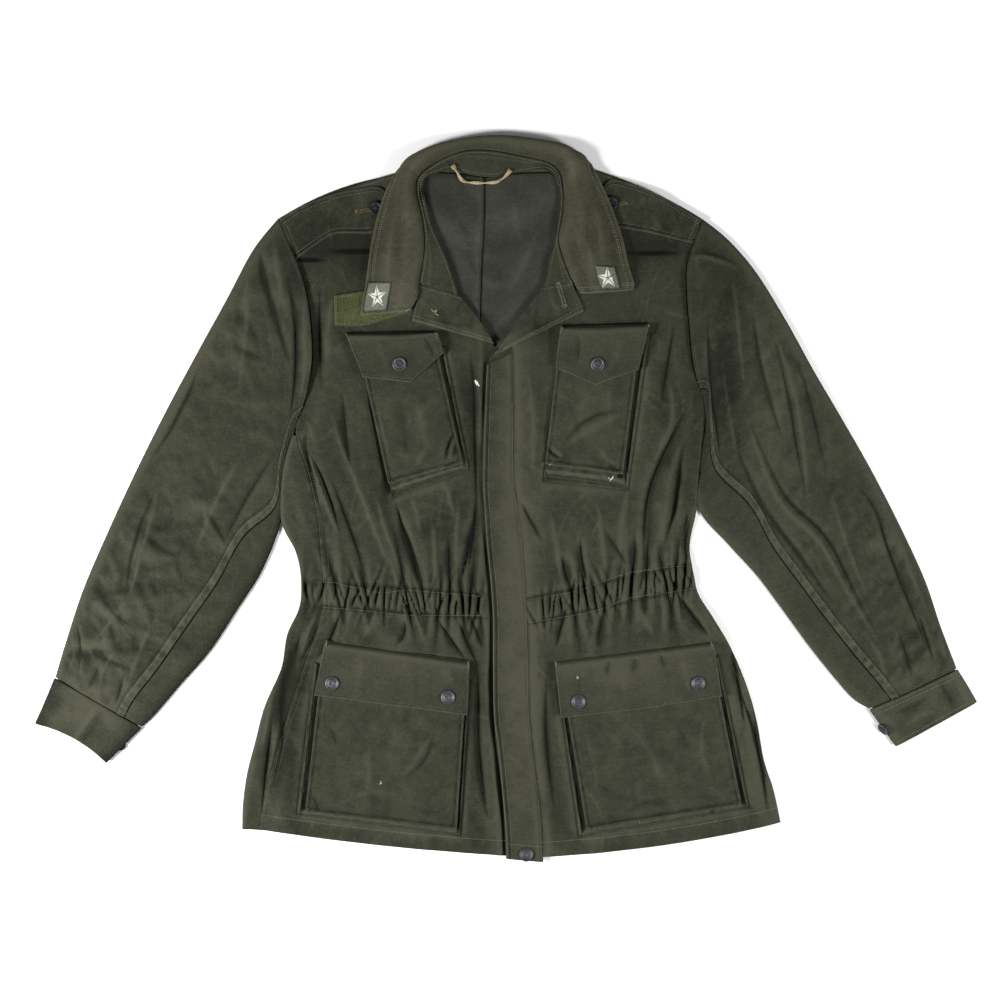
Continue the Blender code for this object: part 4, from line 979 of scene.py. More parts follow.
# ---- collar and lapels
# Collar, from its left corner round the back of the neck to its right corner. Each row holds the
# seam with the stand, the top of the roll and the outer edge (x, y, z), and the lean of the roll:
# 0 where the fall lies on the front, 1 where it hangs down behind the neck.
FALL = [
    (-110, 219, 9.5, -119, 216, 11.5, -168, 212, 9.5, 0), (-102, 235, 10, -114, 233, 13, -166, 230, 9.5, 0),
    (-101, 250, 10.5, -111, 250, 14, -162, 250, 9.5, 0), (-95, 288, 11, -108, 288, 15, -157, 288, 10, 0),
    (-97, 321, 11.5, -110, 322, 15.5, -150, 321, 11.8, 0),
    (-104, 352, 12, -116, 354, 15.5, -141, 351, 12.5, 0),
    (-104, 366, 12, -117, 372, 15, -133, 367, 11.5, 0),
    (-100, 374, 12, -114, 388, 13.5, -125, 380, 8, 0.15),
    (-93, 381, 12, -107, 396, 11.5, -116, 385, 4, 0.5), (-81, 389, 12, -95, 404, 8, -104, 379, 0.8, 0.9),
    (-65, 397, 12, -75, 411, 7, -77, 358, 0.8, 1), (-42, 403, 12, -44, 417.4, 6.5, -48, 343, 0.8, 1),
    (-13, 402, 12, -7, 420, 6.5, -10, 339, 0.8, 1), (28, 394, 12, 34, 416, 6.5, 28, 342, 0.8, 1),
    (49, 389, 12, 65, 410, 7.5, 58, 355, 0.8, 1), (59, 382, 12, 79, 403, 9, 80, 388.5, 0.9, 0.9),
    (64, 373, 12, 90, 394, 11.5, 96, 389, 5, 0.5), (66, 360, 11.8, 91, 374, 14, 104, 377, 9.2, 0.1),
    (67, 346, 11.5, 86, 351, 15.5, 113, 358, 11.8, 0), (65, 325, 11, 83, 328, 15.5, 124, 332, 11.8, 0),
    (61, 300, 11, 79, 302, 15, 135, 300, 10.5, 0), (66, 279, 10.5, 81, 281, 14, 140, 277, 9.8, 0),
    (72, 263, 10, 85, 264, 13, 145, 259, 9.5, 0), (77, 252, 9.5, 88, 252, 12, 148, 248, 9.3, 0),
    (86, 237, 9.2, 97, 237, 11, 146, 241, 9.3, 0)]
STAND_ROWS = (2, 23)     # the rows of FALL that the stand is sewn to, and below its inner edge
STAND_INNER = [
    (-55, 235, 6.8), (-68, 274, 6.8), (-85, 313, 7.4), (-94, 347, 9.6), (-96, 365, 10.4), (-93, 371, 10.2),
    (-86, 374, 8.2), (-75, 378, 7.2), (-60, 381, 6.8), (-42, 375, 6.6), (-15, 372, 6.6), (17, 378, 6.6),
    (42, 381, 6.8), (53, 376, 7.4), (58, 366, 8.2), (61, 356, 8.6), (62, 341, 8.8), (60, 322, 8.6),
    (56, 295, 7.6), (50, 276, 7.2), (47, 258, 7), (44, 246, 7)]
LAPEL_L = [(-100.5, 250, -54.5, 235), (-104, 227, -37, 215), (-107, 212, -24, 197), (-109, 206, -14, 179)]
LAPEL_R = [(75, 252.5, 44, 246), (81, 238, 19, 214), (87, 226, 2, 189), (90, 217, -16, 164)]
STRAP_L = [
    (-262, 322, -243, 277), (-237, 338, -221, 293), (-197, 353, -199, 306), (-167, 359, -173, 307),
    (-149, 361, -153, 308), (-135, 352, -138, 322)]
STRAP_R = [
    (226, 321, 216, 295), (189, 345, 189, 302), (163, 358, 160, 309), (140, 366, 134, 313),
    (122, 369, 128, 314), (108, 356, 112, 330)]
EDGE_SEAM = 5.2      # from a folded edge to its topstitching
SECOND_SEAM = 2.2    # from that to a second row beside it
HEM_SEAM = 17.0      # from the hem to its topstitching
SIDE_SEAMS = (3.0, 7.6)     # from a front's side and armhole edge to its two rows
CUFF_SEAMS = (2.2, 6.4)     # from the cuff's upper edge to its two rows
POCKET_SEAM = 1.9    # from a pocket front's edge to the row that holds it
TAPE_SEAM = 2.2      # from the loop tape's edge to its row


def crowded(count, pull=0.62):
    """Shares from 0 to 1 that lie closer together near both ends."""
    s = np.linspace(0, 1, odd(count))
    return s - pull * np.sin(2 * math.pi * s) / (2 * math.pi)


def sewn_edge(distance, depth=0.45):
    """How the face of a double piece sinks at the topstitching beside its edge."""
    return -depth * bell(distance - EDGE_SEAM, 1.2) + 0.4 * depth * bell(distance - 2.4, 1.6)


def puckers(run, seed, size=6.5):
    return hills(run, np.full(np.shape(run), 3.3), size, seed)


def bezier(a, b, c, d, t):
    s = 1 - t
    return a * s ** 3 + b * 3 * s * s * t + c * 3 * s * t * t + d * t ** 3


def fall_points(rows, shares):
    """The fall of the collar at rows x shares; share 0 is its seam, 1 its outer edge."""
    seam, roll, edge, lean = rows[:, 0:3], rows[:, 3:6], rows[:, 6:9], rows[:, 9:10]
    blend = smooth((lean - 0.3) / 0.2)
    out = unit(edge[:, :2] - seam[:, :2]) * (1 - blend) + unit(roll[:, :2] - seam[:, :2]) * blend
    out = unit(out)
    tilt = lean * math.pi / 2
    heading = np.concatenate((out * np.cos(tilt), -np.sin(tilt)), axis=1)
    first = np.linalg.norm(roll - seam, axis=1, keepdims=True)
    second = np.linalg.norm(edge - roll, axis=1, keepdims=True)
    rising = unit(unit(roll - seam) + np.concatenate((0 * out, 0.5 - 0.3 * lean), axis=1))
    turn = (1 - lean) * 0.45 * second + lean * 0.85 * np.abs(roll[:, 2:3] - edge[:, 2:3])
    landing = unit(np.concatenate((edge[:, :2] - roll[:, :2], -0.05 * second * (1 - lean)), axis=1))
    part = 0.32
    t = np.asarray(shares)[None, :, None]
    low, high = np.clip(t / part, 0, 1), np.clip((t - part) / (1 - part), 0, 1)
    a = [p[:, None, :] for p in (seam, seam + rising * 0.4 * first, roll - heading * 0.45 * first, roll)]
    b = [p[:, None, :] for p in (roll, roll + heading * turn, edge - landing * 0.35 * second, edge)]
    return np.where(t <= part, bezier(*a, low), bezier(*b, high))


def collar_fall():
    t = even_steps([(row[3], row[4]) for row in FALL], 2.0)
    shares = crowded(49, 0.5)
    rows = through(FALL, t)
    rows[:, 9] = np.clip(rows[:, 9], 0, 1)
    grid = fall_points(rows, shares)
    normals = normals_of(grid)
    run = lengths_along(grid[:, 15])[:, None]
    across = lengths_along(grid)
    from_edge = across[:, -1:] - across
    from_ends = np.minimum(run, run[-1] - run)
    lying = 1 - rows[:, 9:10]
    bumps = (sewn_edge(from_edge) + sewn_edge(from_ends)) * (0.8 + 0.35 * puckers(run, 51))
    bumps = bumps + 0.75 * hills(grid[..., 0], grid[..., 1], 34, 52) * smooth(across / 12)
    bumps = bumps + creases(grid[..., 0], grid[..., 1], COLLAR_CREASES)
    bumps = np.maximum(bumps, -0.45) * (0.25 + 0.75 * lying)
    # paler at the edges and ends, as worn cloth, and along the roll, as worn cloth and a painted sheen
    wear = 0.75 * smooth(1 - from_edge / 3) + 0.6 * smooth(1 - from_ends / 3) * np.ones_like(from_edge)
    wear = wear + 0.28 * bell(across / np.maximum(across[:, -1:], 1) - 0.34, 0.1)
    return shell("collar_fall_cloth", grid + normals * bumps[..., None], DOUBLE, wear=wear)


COLLAR_CREASES = [
    ([(-128, 330), (-134, 290), (-138, 240)], 9, 1.2, 0.0),
    ([(-118, 300), (-122, 260), (-126, 226)], 6, -0.5, 0.0),
    ([(-150, 330), (-152, 290), (-156, 250)], 7, 0.7, 0.0),
    ([(100, 350), (108, 310), (112, 268)], 8, 1.2, 0.0),
    ([(118, 320), (124, 290), (128, 262)], 7, -0.5, 0.0), ([(92, 300), (98, 275), (104, 248)], 6, 0.7, 0.0)]


def collar_stand():
    rows = np.array(FALL[STAND_ROWS[0]:STAND_ROWS[1] + 1], float)
    table = np.concatenate((rows[:, 0:3], np.array(STAND_INNER, float)), axis=1)
    t = even_steps(table, 2.4)
    values = through(table, t)
    seam, inner = values[:, None, 0:3], values[:, None, 3:6]
    start = seam + unit(inner - seam) * (SEAM + 0.6)
    s = np.linspace(0, 1, 25)[None, :, None]
    grid = start + (inner - start) * s
    sag = 0.4 * np.sin(math.pi * s[..., 0]) + 0.35 * (1 - bell(s[..., 0] - 0.25, 0.05)) - 0.35
    grid[..., 2] -= sag + 0.25 * hills(grid[..., 0], grid[..., 1], 24, 54)
    return shell("collar_stand_cloth", grid, CLOTH)


def strip(name, table, height, thickness, step=2.0, columns=25, bulge=0.0, bend=None, rough=0.35, seed=60,
          worn=0.6, sewn=("first", "last", "ends"), grain=0.0):
    """A piece between two edges, laid at the height that height(x, y) gives."""
    t = even_steps(table, step)
    values = through(table, t) if bend is None else bend(table, t)
    start, end = values[:, None, 0:2], values[:, None, 2:4]
    shares = crowded(columns)
    plan = start + (end - start) * shares[None, :, None]
    x, y = plan[..., 0], plan[..., 1]
    width = np.linalg.norm(values[:, 2:4] - values[:, 0:2], axis=1)[:, None]
    run = lengths_along(values[:, :2])[:, None]
    gaps = {"first": shares[None, :] * width, "last": (1 - shares[None, :]) * width,
            "start": run + 0 * shares, "ends": run[-1] - run + 0 * shares}
    z = height(x, y) + bulge * np.sin(math.pi * shares)[None, :]
    wear = np.zeros_like(z)
    for edge in sewn:
        z = z + sewn_edge(gaps[edge], 0.5) * (0.8 + 0.4 * puckers(run, seed + 2))
        wear = wear + worn * smooth(1 - gaps[edge] / 2.6)
    z = z + rough * hills(x, y, 26, seed) + 0.3 * rough * hills(x, y, 9, seed + 1)
    return shell(name, np.dstack((x, y, z)), thickness, wear=wear, grain=grain)


def straight(table, t):
    """Values between rows with sharp corners at the rows."""
    table = np.asarray(table, float)
    return read_off(t, np.arange(len(table)), table)


# ---- pockets
# Painted shade in the gap between the pocket front and its foot, how dark: left side, foot, right side.
POCKET_GAP_SHADE = {
    "chest_l": (-1.0, 0.0, -0.2), "chest_r": (-0.5, 0.0, -0.3), "skirt_l": (-0.6, 0.0, -0.55),
    "skirt_r": (-0.4, 0.0, -0.5)}
# Creases of the pocket fronts: points, width, height, lean.
POCKET_CREASES = {
    "chest_l": [
        ([(-59, 80), (-66, 62), (-72, 40)], 2.2, -4.5, 0.0),
        ([(-57, 78), (-62, 60), (-67, 42)], 3.0, 3.0, 0.0),
        ([(-74, 40), (-66, 38), (-56, 44)], 2.0, -3.5, 0.0),
        ([(-60, 66), (-60, 55), (-62, 46)], 2.2, -2.0, 0.0),
        ([(-150, 110), (-140, 70), (-134, 40)], 9, 1.2, 0.0),
        ([(-105, 120), (-98, 90), (-92, 60)], 9, 1.1, 0.0),
        ([(-122, 120), (-118, 80), (-112, 40)], 8, -0.9, 0.0),
        ([(-108, 32), (-96, 52), (-90, 62)], 4, 0.9, 0.0)],
    "chest_r": [
        ([(44, 66), (52, 54), (66, 45)], 2.2, -4.0, 0.0), ([(50, 62), (58, 54), (70, 48)], 3.0, 2.0, 0.0),
        ([(63, 56), (98, 82), (140, 102)], 11, 1.6, 0.2),
        ([(118, 44), (122, 36), (134, 30)], 3.5, -2.0, 0.0),
        ([(108, 60), (116, 46), (128, 40)], 5, 1.2, 0.0), ([(70, 120), (80, 90), (90, 60)], 9, -0.9, 0.0),
        ([(120, 140), (118, 110), (122, 70)], 8, 0.9, 0.0)],
    "skirt_l": [
        ([(-205, -262), (-198, -275), (-196, -290)], 6, -1.2, 0.0),
        ([(-84, -270), (-100, -296), (-120, -322)], 9, 1.6, 0.2),
        ([(-160, -270), (-158, -320), (-165, -360)], 12, 1.1, 0.0),
        ([(-120, -350), (-90, -362), (-66, -358)], 8, -1.0, 0.0),
        ([(-225, -338), (-219, -352), (-214, -366)], 5, -1.3, 0.0),
        ([(-190, -345), (-150, -338), (-110, -345)], 9, 0.9, 0.0)],
    "skirt_r": [
        ([(90, -262), (100, -300), (108, -350)], 9, 1.1, 0.0),
        ([(230, -240), (226, -290), (240, -340)], 9, 1.3, 0.0),
        ([(130, -370), (160, -352), (196, -352)], 9, -1.0, 0.0),
        ([(140, -260), (170, -300), (180, -350)], 12, 1.1, 0.0),
        ([(196, -262), (206, -280), (204, -300)], 7, -0.9, 0.0),
        ([(84, -330), (100, -345), (118, -378)], 6, 0.8, 0.0)],
}


def flat_ground(side, thickness, gap=LIE):
    """The ground under a pocket, without the creases of the cloth around it."""
    def height(x, y):
        return FRONT_Z + neck_lift(x, y) + overlap(x, y, side) + CLOTH / 2 + gap + thickness / 2
    return height


def pocket_height(name, x, y, u, v):
    spec = POCKETS[name]
    crown = 1.5 + (1.6 if name.startswith("skirt") else 0.9)
    swell = crown * (np.sin(math.pi * u) * np.sin(math.pi * v)) ** 0.7
    z = flat_ground(name[-1], CLOTH)(x, y) + spec["rise"] + swell
    z = z + 0.8 * facets(x, y, 44, 73, 0.6, 1.5) + 0.4 * facets(x, y, 19, 74, 2.0, 1.4)
    return z + creases(x, y, POCKET_CREASES[name]) + 0.55 * hills(x, y, 30, 71) + 0.2 * hills(x, y, 12, 72)


def pocket_plate(name):
    spec = POCKETS[name]
    tl, tr, br, bl = (np.array(p, float) for p in spec["front"])
    rows, columns = odd(math.dist(tl, bl) / 1.8), odd(math.dist(bl, br) / 1.6)
    u, v = np.meshgrid(crowded(columns, 0.5), np.linspace(0, 1, rows))
    plan = ((tl * (1 - u[..., None]) + tr * u[..., None]) * (1 - v[..., None])
            + (bl * (1 - u[..., None]) + br * u[..., None]) * v[..., None])
    x, y = plan[..., 0], plan[..., 1]
    wide, deep = math.dist(bl, br), math.dist(tl, bl)
    edges = [u * wide, (1 - u) * wide, (1 - v) * deep]
    z = pocket_height(name, x, y, u, v)
    wear = np.zeros_like(z)
    for k, gap in enumerate(edges):
        pinch = 0.9 * bell(gap, 1.7) - 0.55 * bell(gap - 4.0, 1.8)
        z = z + pinch * (0.85 + 0.5 * puckers(v * deep if k < 2 else u * wide, 75 + k, 8))
        wear = wear + 0.45 * smooth(1 - gap / 2.2)
        wander = 0.5 * hills(x, y, 17, 78 + k) * smooth(1 - gap / 12)
        z = z + wander
    lean = math.atan2(tl[0] - bl[0], tl[1] - bl[1])
    # painted shade lines in the pocket front's creases
    return shell(name + "_front_cloth", np.dstack((x, y, z)), CLOTH, wear=wear, grain=-lean,
                 line=0.45 * folded(x, y, POCKET_CREASES[name])[1])


def pocket_bellows(name):
    spec = POCKETS[name]
    side = name[-1]
    foot, high = np.array(spec["foot"], float), np.array(spec["front"], float)
    middle = high.mean(axis=0)
    high = high + unit(middle - high) * 2.0
    order = [0, 3, 2, 1]
    low_path, high_path = foot[order], high[order]
    steps = lengths_along(low_path)
    run = np.linspace(0, steps[-1], odd(steps[-1] / 3.0))
    low, top = read_off(run, steps, low_path)[:, None], read_off(run, steps, high_path)[:, None]
    s = np.linspace(0, 1, 19)[None, :, None]
    plan = low + (top - low) * s
    x, y = plan[..., 0], plan[..., 1]
    s, run = s[..., 0], run[:, None]
    ground = on_front(side, CLOTH)(x, y)
    reach = flat_ground(side, CLOTH)(x, y) + spec["rise"] - CLOTH - SEAM - 0.4
    at_foot = smooth((run - steps[1] + 3) / 6) * smooth((steps[2] + 3 - run) / 6)
    left, low_gap, right = POCKET_GAP_SHADE[name]
    gap = left * (run < steps[1]) + right * (run > steps[2])
    lift = smooth((s - 0.58 * (1 - at_foot)) / (0.42 + 0.58 * at_foot))
    z = ground * (1 - lift) + reach * lift
    fold = 1.5 * bell(s - 0.26, 0.11) - 0.3 * bell(s - 0.06, 0.05)
    box = 1.4 * bell(s - 0.55, 0.14) - 0.9 * bell(s - 0.3, 0.1)
    z = z + fold * (0.8 + 0.8 * puckers(run, 81, 17)) * smooth((1 - s) / 0.2) * (1 - at_foot)
    z = z + at_foot * smooth((1 - s) / 0.2) * smooth(s / 0.12) * (box * (1 + 0.6 * puckers(run, 82, 22))
                                                                   + 0.8 * hills(run, s * 14, 11, 83))
    wear = 0.35 * bell(s - 0.24, 0.09) + 0.25 * smooth(1 - s / 0.12) + 0 * run
    wear = wear + 0.3 * at_foot * bell(s - 0.58, 0.1)
    # painted shade in the gaps beside the pocket front, and a painted shade line in the side gaps
    tone = (gap * (1 - at_foot) + low_gap * at_foot) * smooth((s - 0.34) / 0.12)
    line = np.clip(-gap, 0, 1) * smooth((s - 0.42) / 0.14) * (1 - at_foot)
    return shell(name + "_bellows_cloth", np.dstack((x, y, z)), CLOTH, wear=wear, tone=tone, line=line)


FLAPS = {
    "chest_l": dict(top=[(-186, 192), (-79, 193)], low=[(0, -165, 140), (0.56, -111, 134), (1, -72, 168)]),
    "chest_r": dict(top=[(63, 200), (166, 203)], low=[(0, 57, 151), (0.47, 103, 131), (1, 153, 149)]),
    "skirt_l": dict(top=[(-209, -163), (-42, -187)],
                    low=[(0, -221, -227), (0.5, -136, -238), (1, -45, -250)]),
    "skirt_r": dict(top=[(56, -187), (239, -164)], low=[(0, 63, -253), (0.5, 155, -243), (1, 249, -228)]),
}
FLAP_CREASES = {
    "chest_l": [
        ([(-97, 192), (-88, 176), (-82, 160)], 3.5, -1.1, 0.4),
        ([(-150, 185), (-140, 160), (-134, 142)], 9, 0.9, 0.0)],
    "chest_r": [
        ([(82, 198), (84, 175), (82, 150)], 4, -0.9, 0.3),
        ([(135, 198), (128, 170), (118, 145)], 10, 0.9, 0.0)],
    "skirt_l": [
        ([(-170, -172), (-168, -200), (-174, -228)], 10, 1.0, 0.0),
        ([(-110, -182), (-104, -210), (-104, -240)], 9, -0.7, 0.0),
        ([(-80, -190), (-66, -205), (-60, -222)], 7, 0.8, 0.0)],
    "skirt_r": [
        ([(116, -178), (118, -192), (114, -210)], 3.5, -1.5, 0.0),
        ([(146, -176), (148, -190), (146, -204)], 3.5, -1.5, 0.0),
        ([(178, -172), (180, -186), (184, -200)], 3.5, -1.4, 0.0),
        ([(132, -180), (134, -200), (136, -226)], 8, 0.9, 0.0),
        ([(200, -176), (206, -200), (212, -226)], 9, 0.9, 0.0),
        ([(80, -190), (84, -215), (82, -240)], 8, -0.7, 0.0)],
}


def flap_height(name, x, y, down):
    """Height of a flap's middle, down being the share of its depth below the sewn edge."""
    sewn = flat_ground(name[-1], DOUBLE)(x, y)
    lying = POCKETS[name]["rise"] + CLOTH + LIE
    return sewn + (lying + FLAP_CLEAR) * smooth(down / 0.1) + 1.2 * smooth(down / 0.4)


FLAP_CLEAR = 1.2     # the pocket's crown and creases under the flap
FLAP_SEAM = 3.2      # from a flap's edge to its topstitching


def flap(name):
    spec = FLAPS[name]
    left, right = (np.array(p, float) for p in spec["top"])
    low = np.array(spec["low"], float)
    wide = math.dist(left, right)
    knots = low[:, 0]
    count = odd(wide / 2.0)
    shares = crowded(count, 0.4)
    for knot in knots[1:-1]:
        shares[np.argmin(np.abs(shares - knot))] = knot
    deep = math.dist(left, low[0, 1:])
    down = crowded(odd(deep / 1.8), 0.3)
    u, v = np.meshgrid(shares, down)
    foot = read_off(u, knots, low[:, 1:])
    top = left * (1 - u[..., None]) + right * u[..., None]
    plan = top * (1 - v[..., None]) + foot * v[..., None]
    x, y = plan[..., 0], plan[..., 1]
    z = flap_height(name, x, y, v)
    depth = np.linalg.norm(foot - top, axis=-1)
    edges = [u * wide, (1 - u) * wide, (1 - v) * depth]
    wear = np.zeros_like(z)
    for k, gap in enumerate(edges):
        z = z + sewn_edge(gap * EDGE_SEAM / FLAP_SEAM, 0.5) * (0.8 + 0.45 * puckers(x + y, 85 + k, 7))
        wear = wear + 0.5 * smooth(1 - gap / 2.0)
    z = z + creases(x, y, FLAP_CREASES[name]) * smooth(v / 0.15)
    z = z + 0.5 * hills(x, y, 27, 88) * smooth(v / 0.3)
    curl = 0.9 * smooth((v - 0.7) / 0.3) * hills(x, y * 0.2, 30, 89)
    z = z + np.maximum(curl, -0.3)
    # line: painted shade along the flap's sewn top edge and in its creases
    return shell(name + "_flap_cloth", np.dstack((x, y, z)), DOUBLE, wear=wear,
                 line=np.maximum(bell(v * depth, 1.3), 0.6 * folded(x, y, FLAP_CREASES[name])[1]))


# ---- fastenings
SNAPS = {
    "snap_chest_l": ("chest_l", -123, 155), "snap_chest_r": ("chest_r", 105.5, 155),
    "snap_skirt_l_a": ("skirt_l", -200.5, -213), "snap_skirt_l_b": ("skirt_l", -67, -229),
    "snap_skirt_r_a": ("skirt_r", 83.5, -234), "snap_skirt_r_b": ("skirt_r", 221.5, -213)}
SNAP_HEM = (23.5, -411.5)
SNAP_D = 16.4
BUTTON_D = 15.2
BUTTON_T = 2.6
BUTTON_CUFF_L = (-448, -285)
BUTTON_TILT = 25.0   # degrees
BUTTON_RISE = 2.9
BUTTON_STRAP = {"l": (-151, 336), "r": (122, 342)}
# Radius and height of the cap of a snap: a rolled rim, a sunk ring and a flat disc with a dimple.
CAP = [
    (0.0, 0.0), (0.88, 0.0), (0.965, 0.25), (1.0, 0.75), (0.995, 1.15), (0.965, 1.55), (0.92, 1.85),
    (0.86, 2.0), (0.80, 1.97), (0.755, 1.8), (0.72, 1.5), (0.68, 1.32), (0.63, 1.3), (0.595, 1.4),
    (0.57, 1.62), (0.54, 1.78), (0.48, 1.84), (0.3, 1.8), (0.16, 1.76), (0.12, 1.66), (0.085, 1.5),
    (0.0, 1.46)]
RIM_PROFILE = [
    (0.0, 0.0), (0.78, 0.0), (0.9, 0.12), (0.98, 0.36), (1.0, 0.62), (0.985, 0.84), (0.93, 0.97),
    (0.86, 1.0), (0.79, 0.96), (0.73, 0.86), (0.66, 0.77), (0.58, 0.73), (0.5, 0.72), (0.42, 0.71),
    (0.37, 0.71), (0.32, 0.71), (0.27, 0.71), (0.22, 0.71), (0.17, 0.71), (0.12, 0.71), (0.07, 0.71),
    (0.0, 0.71)]
HOLES = [(1.75, 1.75), (-1.75, 1.75), (1.75, -1.75), (-1.75, -1.75)]
HOLE_R = 0.95


def turned(name, profile, radius, height, place, lean=(0.0, 0.0, 1.0), sides=40, holes=()):
    """A turned piece from its profile; the holes are sunk into its face."""
    axis = unit(np.array(lean, float))
    side = np.cross(axis, (0.0, 1.0, 0.3))
    side = unit(side)
    other = np.cross(axis, side)
    vertices, faces = [np.array(place, float)], []
    angles = np.linspace(0, 2 * math.pi, sides, endpoint=False)
    rings = profile[1:-1]
    for share, level in rings:
        u, v = share * radius * np.cos(angles), share * radius * np.sin(angles)
        z = np.full(sides, level * height)
        if level > 0:
            for hx, hy in holes:
                z = z - 1.2 * smooth((HOLE_R - np.hypot(u - hx, v - hy)) / 0.35 + 0.5)
        vertices.extend(np.array(place) + np.outer(u, side) + np.outer(v, other) + np.outer(z, axis))
    vertices.append(np.array(place, float) + axis * profile[-1][1] * height)
    for k in range(sides):
        faces.append((0, 1 + (k + 1) % sides, 1 + k))
        for ring in range(len(rings) - 1):
            a, b = 1 + ring * sides, 1 + (ring + 1) * sides
            faces.append((a + k, a + (k + 1) % sides, b + (k + 1) % sides, b + k))
        last = 1 + (len(rings) - 1) * sides
        faces.append((last + k, last + (k + 1) % sides, len(vertices) - 1))
    made = mesh_object(name, np.array(vertices), faces, smooth_angle=65)
    face_outwards(made)
    return made, (side, other, axis)


def snaps():
    made = []
    for name, (pocket, x, y) in SNAPS.items():
        cloth = pocket + "_flap_cloth"
        place = (x, y, resting(cloth, x, y) + 0.1)
        made.append(turned(name + "_cap", CAP, SNAP_D / 2, 1.0, place, slope(cloth, x, y))[0])
    place = (*SNAP_HEM, resting("placket_cloth", *SNAP_HEM) + 0.1)
    made.append(turned("snap_hem_cap", CAP, SNAP_D / 2, 1.0, place)[0])
    return made


def button(name, place, lean):
    """A four-hole button with the crossed threads that hold it."""
    made, (side, other, axis) = turned(name, RIM_PROFILE, BUTTON_D / 2, BUTTON_T, place, lean, holes=HOLES)
    threads = []
    centre = np.array(place, float) + axis * (0.71 * BUTTON_T)
    for a, b in ((0, 3), (1, 2)):
        for shift in (-0.28, 0.28):
            ends = [centre + side * (HOLES[k][0] + shift) + other * HOLES[k][1] for k in (a, b)]
            middle = (ends[0] + ends[1]) / 2 + axis * 0.45
            threads.append([ends[0] - axis * 0.7, ends[0] + axis * 0.1, middle, ends[1] + axis * 0.1,
                            ends[1] - axis * 0.7])
    return made, threads


def buttons():
    made = []
    for side, (x, y) in BUTTON_STRAP.items():
        cloth = "strap_%s_cloth" % side
        place = (x, y, resting(cloth, x, y) + 0.35)
        made.append(button("button_strap_%s_disc" % side, place, slope(cloth, x, y)))
    made.append(button("button_cuff_l_disc", (*BUTTON_CUFF_L, 0.2), (0, 0, 1)))
    above, edge, below = (np.array(row[2:4], float) for row in CUFF_R)
    run = unit(below - above)
    out = np.array((run[1], -run[0], 0.0))
    tilt = math.radians(BUTTON_TILT)
    lean = out * math.cos(tilt) + np.array((0, 0, math.sin(tilt)))
    rise = np.array((0, 0, math.cos(tilt))) - out * math.sin(tilt)
    seat = np.array((*edge, sum(CUFF_Z) / 2 + 0.5))
    made.append(button("button_cuff_r_disc", seat + lean * (FACED / 2 + SEAM) + rise * BUTTON_RISE, lean))
    return [piece for piece, _ in made], [thread for _, threads in made for thread in threads]


# ---- what lies on a finished surface
TREES = {}           # of each piece that was asked for, to find its face under a place


def tree_of(name):
    if name not in TREES:
        mesh = bpy.data.objects[name].data
        points = np.zeros(len(mesh.vertices) * 3)
        mesh.vertices.foreach_get("co", points)
        TREES[name] = BVHTree.FromPolygons((points.reshape(-1, 3) / MM).tolist(),
                                           [tuple(p.vertices) for p in mesh.polygons])
    return TREES[name]


def landing(name, x, y):
    return tree_of(name).ray_cast(Vector((x, y, 60.0)), Vector((0.0, 0.0, -1.0)))


def resting(name, x, y):
    """Height of a piece's upper face at a place."""
    place = landing(name, x, y)[0]
    return place.z if place else 0.0


def slope(name, x, y):
    """The way a disc faces that lies on a piece at a place."""
    total = np.zeros(3)
    for dx, dy in ((0, 0), (5, 0), (-5, 0), (0, 5), (0, -5)):
        normal = landing(name, x + dx, y + dy)[1]
        if normal is not None:
            total += np.array(normal) * (1 if normal.z > 0 else -1)
    return unit(total + np.array((0, 0, 2.0)))


def laid(names, path, step=2.0, rise=0.12, bent=True):
    """A path in plan, smooth through its points, dropped on the pieces it crosses."""
    path = np.asarray(path, float)
    if bent:
        t = even_steps(path, step)
        plan = through(path, t)
    else:
        run = lengths_along(path)
        plan = read_off(np.linspace(0, run[-1], odd(run[-1] / step) + 2), run, path[:, :2])
    names = [names] if isinstance(names, str) else names
    points = []
    for x, y in plan:
        heights = [place.z for place in (landing(name, x, y)[0] for name in names) if place]
        if heights:
            points.append((x, y, max(heights) + rise))
    return points


def beside(path, distance):
    """A plan path moved sideways, to its left as it runs."""
    path = np.asarray(path, float)[:, :2]
    along = unit(np.gradient(path, axis=0))
    return path + np.stack((-along[:, 1], along[:, 0]), axis=1) * distance


def edge_line(name, edge, distance, trim=0.0, rise=0.1):
    """A line on a finished piece's face at a distance from its first or last row or column."""
    grid = SURFACES[name]
    if edge in ("top", "bottom"):
        grid = grid.transpose(1, 0, 2)
    if edge in ("bottom", "right"):
        grid = grid[:, ::-1]
    points = np.array([read_off(distance, run, row) for run, row in zip(lengths_along(grid), grid)])
    along = lengths_along(points)
    points = read_off(np.linspace(trim, along[-1] - trim, max(4, int(along[-1] / 2))), along, points)
    points[:, 2] += rise
    return points.tolist()


def sideways(along):
    """Directions to the left of a line, level with the ground."""
    return np.stack((-along[:, 1], along[:, 0], 0 * along[:, 0]), axis=1)


def satin(path, half, pitch=0.55, rise=0.1):
    """Close zigzag stitches over a line of 3-D points."""
    path = np.asarray(path, float)
    run = lengths_along(path)
    centre = read_off(np.arange(0, run[-1], pitch / 2), run, path)
    side = sideways(unit(np.gradient(centre, axis=0)))
    swing = np.where(np.arange(len(centre)) % 2, half, -half)[:, None]
    centre[:, 2] += rise
    return centre + side * swing


